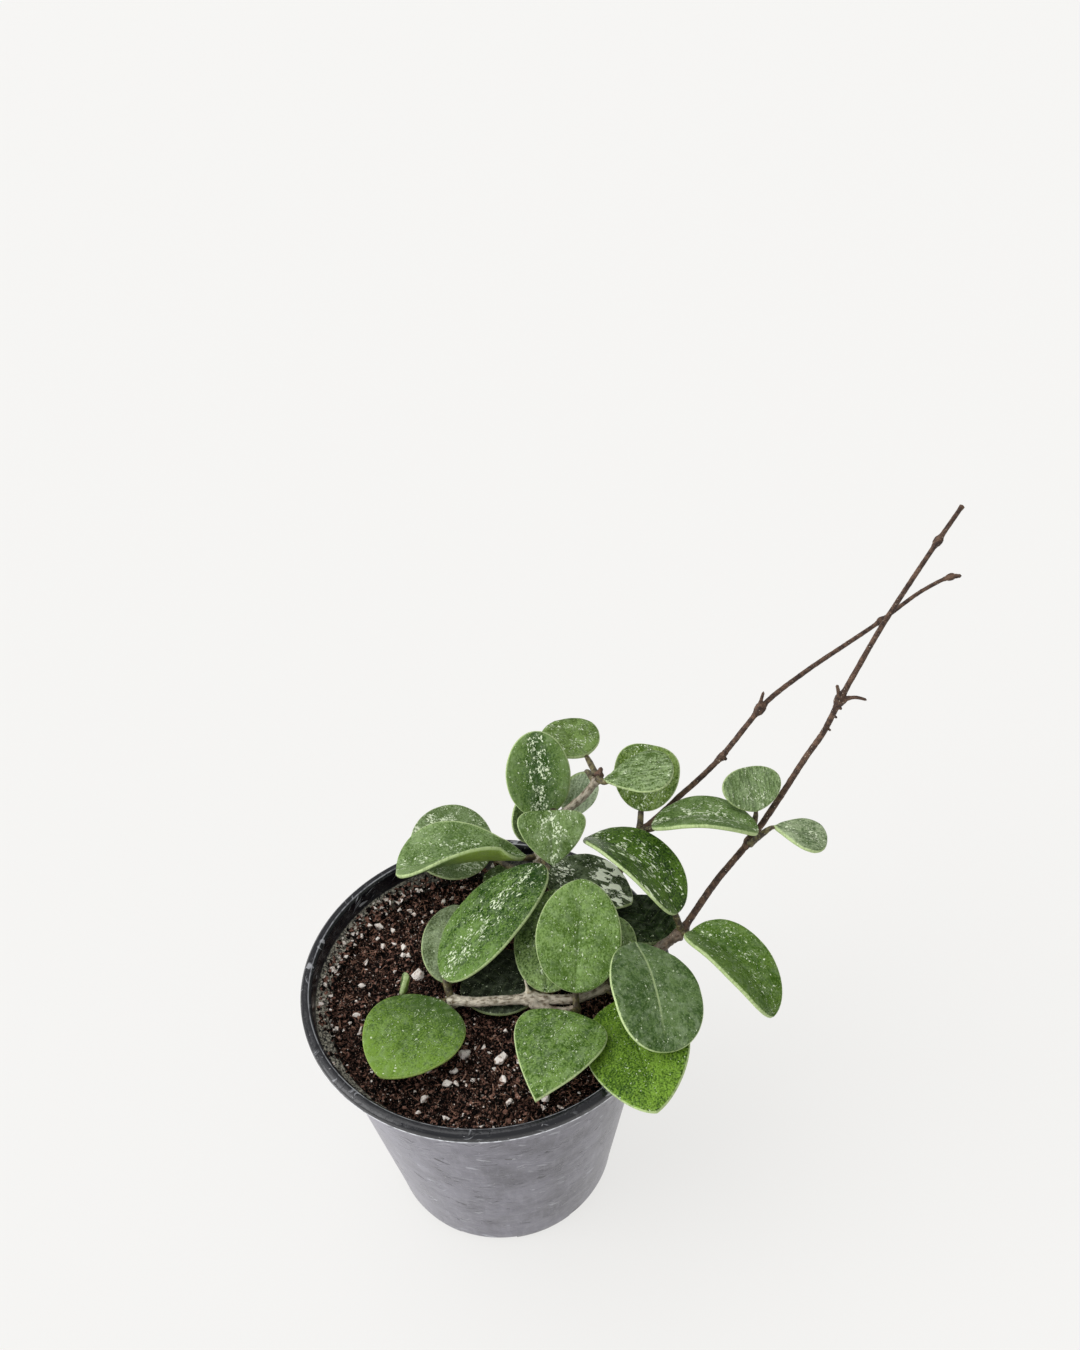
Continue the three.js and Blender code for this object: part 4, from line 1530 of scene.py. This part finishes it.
    def build(self) -> None:
        """Build the bed and everything scattered on it."""
        self.bed()
        peat = PeatFinish(brown=paint(138, 102, 88), grain=1.2).dress("peat_crumb")
        fibre = PeatFinish(dark=paint(38, 22, 16), brown=paint(168, 128, 108), light=paint(222, 198, 180),
                           grain=2.6).dress("coir_fibre")
        perlite = PerliteFinish().dress("perlite")
        self.scatter("soil_crumbs", self.crumbs, peat, 0, self.crumb, self.on_bed, 30)
        self.scatter("soil_fibres", self.fibres, fibre, 1, self.strand, self.on_bed)
        self.scatter("soil_grit", self.grit, perlite, 2, self.small_chip, self.on_bed, 25)
        self.scatter("ledge_crumbs", self.debris, peat, 4, self.crumb, self.on_ledge, 30)
        self.scatter("ledge_grit", self.debris // 6, perlite, 5, self.small_chip, self.on_ledge, 25)
        self.large_chips(perlite)


# ---- Studio ----


@dataclass(frozen=True)
class Studio:
    """Pale floor, soft light and the camera that sees the plant as the photograph does."""

    eye: Point = (0.02165, -0.26599, 0.42020)  # metres
    right: Point = (0.998, -0.0401, -0.0490)  # the camera's own directions
    back: Point = (0.0, -0.7736, 0.6337)
    lens: float = 37.33  # millimetres, with the sensor's longer side below
    sensor: float = 36.0
    floor_colour: Colour = (0.16, 0.16, 0.158)
    floor_glow: float = 0.735  # keeps the floor near white under soft light
    glow_colour: Colour = (1.0, 0.991, 0.973)
    floor_reach: float = 8.0  # metres from the pot to the floor's edge
    sky: float = 0.5
    lamps: tuple[tuple[str, float, float, Point], ...] = (
        ("key", 1.35, 60, (-0.45, 0.1, 1.0)),
        ("fill", 0.35, 90, (0.4, -0.9, 0.7)),
        ("side", 2.0, 50, (-1.0, -0.3, 0.3)),
    )  # name, strength, width on the sky in degrees, and the direction that the light comes from

    def camera(self) -> None:
        """Set up the camera."""
        data = bpy.data.cameras.new("view")
        data.lens = self.lens
        data.sensor_width = self.sensor
        data.sensor_fit = "AUTO"
        data.clip_start, data.clip_end = 0.01, 50
        seat = link("view", data)
        back = Vector(self.back).normalized()
        right = (Vector(self.right) - back * Vector(self.right).dot(back)).normalized()
        turn = Matrix((right, back.cross(right), back)).transposed()
        seat.matrix_world = Matrix.Translation(self.eye) @ turn.to_4x4()
        bpy.context.scene.camera = seat

    def floor(self) -> None:
        """Lay the pale floor."""
        mesh = bmesh.new()
        bmesh.ops.create_grid(mesh, x_segments=1, y_segments=1, size=self.floor_reach)
        ground = settle("floor", mesh)
        ground.data.materials.append(Bench("floor_paint").finish(
            Base_Color=self.floor_colour, Roughness=0.9, Specular_IOR_Level=0.1,
            Emission_Color=self.glow_colour, Emission_Strength=self.floor_glow))

    def sun(self, name: str, strength: float, width: float, aim: Point) -> None:
        """Add a wide soft light.

        Args:
            name: The light's name.
            strength: Its strength.
            width: Its width on the sky, in degrees.
            aim: The direction that it comes from.
        """
        data = bpy.data.lights.new(name, "SUN")
        data.energy = strength
        data.angle = math.radians(width)
        link(name, data).matrix_world = Vector(aim).to_track_quat("Z", "Y").to_matrix().to_4x4()

    def build(self) -> None:
        """Build the studio."""
        self.camera()
        self.floor()
        world = bpy.data.worlds.new("studio")
        world.use_nodes = True
        sky = world.node_tree.nodes["Background"]
        sky.inputs["Color"].default_value = (1.0, 1.0, 1.0, 1.0)
        sky.inputs["Strength"].default_value = self.sky
        bpy.context.scene.world = world
        bpy.context.scene.view_settings.view_transform = "Standard"
        for lamp in self.lamps:
            self.sun(*lamp)


# ---- The plant ----


def tint(base: LeafFinish, deep: Screen, fresh: Screen, **rest: float | Colour) -> LeafFinish:
    """Give a leaf's finish its own greens, and what else sets the leaf apart."""
    return replace(base, deep=paint(*deep), fresh=paint(*fresh), **rest)


def leaves() -> list[Leaf]:
    """List the leaves, from the top of the plant down.

    Returns:
        Every leaf with its place, form and finish.
    """
    mid = LeafFinish()
    grey = tint(mid, (86, 108, 60), (126, 150, 98), flecks=0.35, sheen=0.2, wrinkles=0.45, shine=0.5)
    # Darker greens: painted shade for leaves that lie in the shadow of others.
    shaded = tint(mid, (46, 64, 28), (86, 106, 60), flecks=0.3)
    return [
        Leaf("leaf_top_back", (36.6, 38.6, 130.8), (34.2, 48.8, 129.5), (25.2, 65, 129.2), Form.ROUND,
             18.5, 0, 12, 3, finish=tint(mid, (68, 90, 34), (116, 142, 76), trail=0.3, flecks=0.6)),
        Leaf("leaf_top_front", (23.4, 39.6, 111.6), (19.2, 38.6, 114.4), (19.1, 51.9, 138), Form.ROUND,
             19.8, 0, 15, 4, finish=tint(mid, (50, 78, 30), (98, 124, 66), cloudy=0.5, to_side=1.6,
             flecks=0.9, fleck_size=0.75, trail=0.9)),
        Leaf("leaf_top_falling", (25.4, 38.8, 114), (22.5, 32.5, 123), (22, 23.5, 109), Form.HEART, 20.5,
             0, 60, 4, finish=tint(mid, (66, 90, 38), (114, 138, 84), flecks=0.85, sheen=0.2,
             fleck_size=0.7, trail=0.8)),
        # Paler than its own grey-green: painted light against the shadow that it hangs in.
        Leaf("leaf_top_hanging", (36, 38.1, 128.4), (34, 46.5, 124.6), (28, 44.1, 108.6), Form.OVATE, 11.5,
             70, 15, 6, finish=tint(grey, (134, 158, 116), (222, 238, 206))),
        Leaf("leaf_spoon", (37, 38, 130), (38.5, 35.5, 131), (59.2, 34, 135.5), Form.SPOON, 16, -6, 20,
             finish=tint(grey, (72, 96, 42), (148, 170, 120), wrinkles=0.6, flecks=0.4)),
        Leaf("leaf_right_upright", (49, 32.8, 112.2), (49.8, 37.8, 115.2), (54.4, 50, 131), Form.SPADE,
             20.5, 0, 10, 3, finish=tint(mid, (62, 88, 22), (124, 148, 78), flecks=0.7)),
        Leaf("leaf_right_arched", (49.3, 32.4, 112), (52.6, 30.2, 115.6), (83.4, 24.2, 116.5), Form.ROUND,
             18.6, 15, 62, 14, finish=tint(mid, (64, 92, 32), (112, 138, 80), flecks=0.75, streak=1.8)),
        Leaf("leaf_vine_back", (82.5, 29.2, 110), (83.8, 30.2, 119.4), (81.9, 40.4, 128.3), Form.BROAD,
             18.5, 0, 8, 8, finish=tint(grey, (88, 110, 64), (136, 158, 110), flecks=0.6)),
        Leaf("leaf_vine_front", (81.6, 26.9, 108.9), (88, 24.4, 118.7), (103.3, 20, 114.6), Form.SPOON,
             12.5, 0, 15, 6, finish=tint(grey, (88, 108, 70), (158, 174, 136), flecks=0.6)),
        Leaf("leaf_right_glossy", (58.6, 3.8, 98), (57, 4.8, 104.9), (32.7, 31.2, 110.9), Form.OVAL, 22,
             -16, 75, 20, finish=tint(mid, (18, 46, 2), (80, 112, 32), flecks=0.7, streak=3.0, splash=0.35,
             under_ends=0.1, sheen=0.0, shine=0.34, gloss=0.25, coat=0.1)),
        Leaf("leaf_silver", (17.8, 37.9, 98), (21, 31, 99), (45, 16, 98), Form.OVATE, 21, 0, 15, 4,
             finish=tint(mid, (30, 44, 16), (80, 94, 64), pale=paint(238, 244, 224), flecks=0.8,
             streak=2.2, splash=1.0, splash_from=0.45, sheen=0.25)),
        Leaf("leaf_centre", (26.2, -14.6, 88.4), (26, -12, 93), (30.5, 13, 113.5), Form.OVAL, 25, 0, 20, 3,
             finish=tint(mid, (66, 94, 30), (120, 148, 82), cloudy=1.2, flecks=0.45)),
        Leaf("leaf_centre_back", (13, -9.4, 88.3), (17.5, -8.2, 89), (22.7, 18.9, 103), Form.OVAL, 22, 0,
             15, 3, finish=tint(mid, (46, 70, 22), (132, 158, 94))),
        Leaf("leaf_long", (-10.4, -6.2, 85.1), (-12, -2.4, 90.6), (19.5, 25.5, 106.6), Form.OVAL, 26, 15,
             28, 3, finish=tint(mid, (22, 52, 4), (98, 128, 60), to_tip=-1.0, flecks=0.75, fleck_size=0.7,
             streak=1.8, trail=0.85)),
        Leaf("leaf_long_back", (-10.4, -6.2, 85.1), (-11.5, 0.6, 85), (-9.5, 27.6, 89), Form.OVAL, 18, 0,
             20, 3, finish=tint(shaded, (66, 80, 48), (130, 146, 108), sheen=0.3)),
        # Nearly black greens: painted shade, as this leaf lies in deep shadow on the soil.
        Leaf("leaf_on_soil", (13, -9.4, 88.3), (17, 3, 84.5), (-8, -2, 83), Form.OVAL, 24, 0, 5,
             finish=tint(shaded, (18, 24, 14), (48, 56, 42), flecks=0.3, rim=0.4)),
        Leaf("leaf_low_left", (-10.4, -6.2, 85.1), (-13.8, -6.8, 86.4), (-30, -33, 88), Form.OVATE, 30, 0,
             25, finish=tint(mid, (62, 88, 36), (112, 144, 58), cloudy=0.6, to_tip=1.2,
             line=paint(160, 186, 100), flecks=0.35, streak=1.7, trail=0.2)),
        Leaf("leaf_low_middle", (26.2, -14.6, 88.4), (24, -19.8, 94), (13.2, -49, 95.5), Form.POINTED, 26,
             0, 22, finish=tint(mid, (50, 80, 18), (116, 146, 74), fleck_size=0.55, flecks=0.45, trail=0.3,
             sheen=0.2, rim=1.0)),
        Leaf("leaf_right_low", (35.2, -8.8, 91.8), (44, -3.2, 102), (48.8, -39, 99.6), Form.BROAD, 26.5,
             16, 60, 4, finish=tint(mid, (50, 76, 32), (96, 120, 72), flecks=0.35, sheen=0.25, rim=1.0,
             rib=-0.5)),
        Leaf("leaf_low_bright", (34.4, -9, 91), (40.6, -12.3, 89), (45.2, -53.3, 93.5), Form.OVATE, 30,
             -12, 25, 3, finish=tint(mid, (34, 64, 6), (118, 154, 54), glow=paint(140, 168, 62),
             glowing=0.3, cloudy=0.6, flecks=0.3, sheen=0.02, shine=0.36)),
        Leaf("leaf_far_right", (58.6, 3.8, 98), (61, 1.5, 100), (81, -24, 92), Form.EGG, 21, 14, 68, 22,
             finish=tint(mid, (54, 84, 20), (94, 122, 52), flecks=0.5, trail=0.2)),
        # Nearly black greens: painted shade, as this leaf lies deep behind the others.
        Leaf("leaf_dark_back", (52.9, 0.6, 95.6), (52, 4, 93.6), (45.6, 23.8, 92), Form.OVAL, 20, 0, 12,
             finish=tint(shaded, (6, 16, 1), (38, 60, 20), flecks=0.1, rim=0.5)),
        Leaf("leaf_sheltered", (33.6, -8.8, 90.4), (36.8, -4.8, 92.3), (39.8, 11, 98.6), Form.OVAL, 14, 0,
             10, finish=tint(shaded, (46, 64, 28), (120, 142, 88), flecks=0.5)),
        Leaf("leaf_left_cupped", (17.8, 37.9, 98), (14, 36.5, 99.5), (-27, 35.5, 97.5), Form.TROUGH, 26,
             -6, 24, 42, 16, 0.55, finish=tint(mid, (66, 92, 36), (126, 150, 96),
             under=paint(150, 178, 76), under_ends=0.4, flecks=0.6, streak=1.8)),
        Leaf("leaf_left_round", (15.8, 36.6, 89.4), (2.2, 45.8, 90.4), (-22.5, 54, 96.8), Form.ROUND, 27,
             12, 12, 4, finish=tint(mid, (76, 98, 48), (130, 152, 106), flecks=0.9, trail=0.2)),
        Leaf("leaf_left_pale", (15.8, 35.6, 86.6), (10.4, 37.6, 85.4), (-0.4, 43.6, 84), Form.OVAL, 12, 10,
             10, 4, finish=shaded),
        Leaf("leaf_behind_left", (17.8, 37.9, 98), (17.5, 40, 102), (15.5, 48.5, 116), Form.EGG, 14, 0, 8,
             3, finish=shaded),
        Leaf("leaf_low_sprout", (-23, 0.4, 77), (-25.2, -0.2, 84), (-23.4, -0.3, 91), Form.OVATE, 7, 0, 8,
             4, finish=tint(mid, (46, 66, 22), (98, 116, 72), flecks=0.2)),
    ]


def stems() -> list[Stem]:
    """List the stems with their side shoots.

    Returns:
        The three stems.
    """
    long_vine = Stem(
        "stem_long_vine",
        runs=[
            Run([(-16, -6, 66), (-14, -5.5, 78), (-10.5, -6.2, 85), (-3, -8, 86.6), (5, -9, 87.8),
                 (13, -9.4, 88.3), (19.1, -10.4, 88.6), (26.2, -10.8, 89), (34.4, -9, 91),
                 (45.5, -2.8, 93.5), (58.6, 3.8, 98)], (1.5, 1.4), (1.0, 0.1)),
            Run([(12.5, -9.4, 88), (19, -13.4, 87.4), (26.2, -14.8, 88.4)], (1.35, 1.25), (0.5, 0.3)),
            Run([(58, 3.4, 97.6), (61.2, 7.4, 98.8), (70.7, 17.8, 103.9), (82, 28.1, 109.3),
                 (91.8, 35.7, 119.3), (99.8, 40.5, 130.8), (104.9, 42.2, 139.2), (109, 43.6, 150),
                 (115, 50.2, 156), (121.9, 58.7, 161), (126, 63.6, 163.6), (135.1, 72, 172),
                 (143, 78.5, 180), (152.2, 87.9, 186)], (1.1, 0.7)),
        ],
        nodes=[
            ((-16, -6, 66), 1.8), ((-10.4, -6.2, 85.1), 2.1), ((13, -9.4, 88.3), 2.2),
            ((26.2, -14.6, 88.4), 1.8), ((34.4, -9, 91), 1.9), ((52.9, 0.6, 95.6), 1.7),
            ((58.6, 3.8, 98), 2.2), ((82, 28.1, 109.3), 1.7), ((109, 43.6, 150), 1.7),
            ((143, 78.5, 180), 1.4), ((152.2, 87.9, 186), 0.9),
        ],
        spurs=[
            Run([(109, 43.6, 150), (108.2, 43, 153.4), (107.4, 42.8, 156.6)], (0.8, 0.45)),
            Run([(109, 43.6, 150), (113.4, 42.6, 151.4), (116.6, 42, 150.6)], (0.7, 0.4)),
            Run([(108.1, 43.2, 147.9), (109, 42.8, 147.6), (109.6, 42.5, 147.1)], (0.5, 0.3)),
            Run([(107, 42.8, 145), (107.8, 42.5, 144.6), (108.4, 42.2, 144.1)], (0.5, 0.3)),
            Run([(105.4, 42.2, 140.6), (106.1, 41.9, 140.3), (106.8, 41.6, 139.8)], (0.5, 0.3)),
            Run([(143, 78.5, 180), (144.6, 79, 182.2), (146.6, 80.6, 184)], (0.6, 0.35)),
            Run([(12.4, -8.6, 89.2), (12, -7, 91), (11.6, -6, 93)], (0.4, 0.3), root=True),
        ],
    )
    second_vine = Stem(
        "stem_second_vine",
        runs=[
            Run([(34, 23, 66), (36, 25, 80), (40, 29.5, 90), (44.5, 34, 98), (49.3, 32.4, 112)],
                (1.3, 1.1), (0.3, 0.0)),
            Run([(48.8, 32, 111.6), (54.1, 36.6, 112.6), (59.1, 41, 113.5), (62.3, 42.4, 116),
                 (67.1, 43.2, 120.6), (75, 44.9, 129), (86.6, 48.6, 144), (90.6, 52, 145.4),
                 (103.9, 62, 147.4), (118.6, 72, 149.2), (128.9, 78.2, 151.4), (143.4, 86.4, 156),
                 (152.4, 88.8, 158.8), (155.4, 87.4, 160)], (0.95, 0.6)),
        ],
        nodes=[
            ((34, 23, 66), 1.6), ((36, 25, 80.5), 1.9), ((49.3, 32.4, 112), 1.8),
            ((75, 44.9, 129), 1.2), ((86.6, 48.6, 144), 1.6), ((128.9, 78.2, 151.4), 1.2),
            ((152.4, 88.8, 158.8), 1.2),
        ],
        spurs=[
            Run([(86.6, 48.6, 144), (87, 49.4, 147), (87.8, 50.6, 149.2)], (0.7, 0.4)),
            Run([(75, 44.9, 129), (76, 44.4, 128.7), (76.7, 44.2, 128.3)], (0.45, 0.3)),
        ],
    )
    top_branch = Stem(
        "stem_top_branch",
        runs=[
            Run([(14, 33, 66), (15.5, 35.5, 80), (16.4, 36.6, 92), (17.8, 37.9, 98),
                 (20.6, 39.6, 105.4), (23.8, 39.4, 112.4), (28.2, 39.2, 117), (33, 38.4, 123),
                 (37, 38, 130)], (1.6, 1.15), (0.9, 0.4)),
        ],
        nodes=[
            ((14, 33, 66), 1.9), ((16.1, 36, 88), 2.0), ((17.8, 37.9, 98), 2.0),
            ((23.8, 39.4, 112.4), 1.8), ((37, 38, 130), 1.8),
        ],
        spurs=[Run([(37, 38, 130), (37.7, 39.4, 131.1), (38.3, 40.4, 132.2)], (0.8, 0.5))],
    )
    return [long_vine, second_vine, top_branch]


CHIPS = [
    (-34.5, 29, 1.6), (-21.5, 9, 2.4), (-7.5, -21, 2.2), (3.5, -24, 2.2), (-12, -31, 1.6),
    (4, -30, 1.5), (-18.5, -35, 1.6), (15.5, -37, 1.8), (5.5, -38.5, 1.4), (-17.5, -26, 1.3),
    (-10, -26.5, 1.3), (-14, 38, 1.3), (-26, 19, 1.4), (-39.5, -5, 1.3), (-38.5, 6, 1.3),
]  # perlite that stands out of the soil: place on the surface and radius


def main() -> None:
    """Build the whole scene over the frame, and note its size."""
    logging.basicConfig(level=logging.INFO, format="%(name)s %(message)s")
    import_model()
    Studio().build()
    pot = Pot()
    pot.build()
    Soil(pot, chips=CHIPS).build()
    for stem in stems():
        stem.build()
    for leaf in leaves():
        leaf.build()


if __name__ == "__main__":
    main()
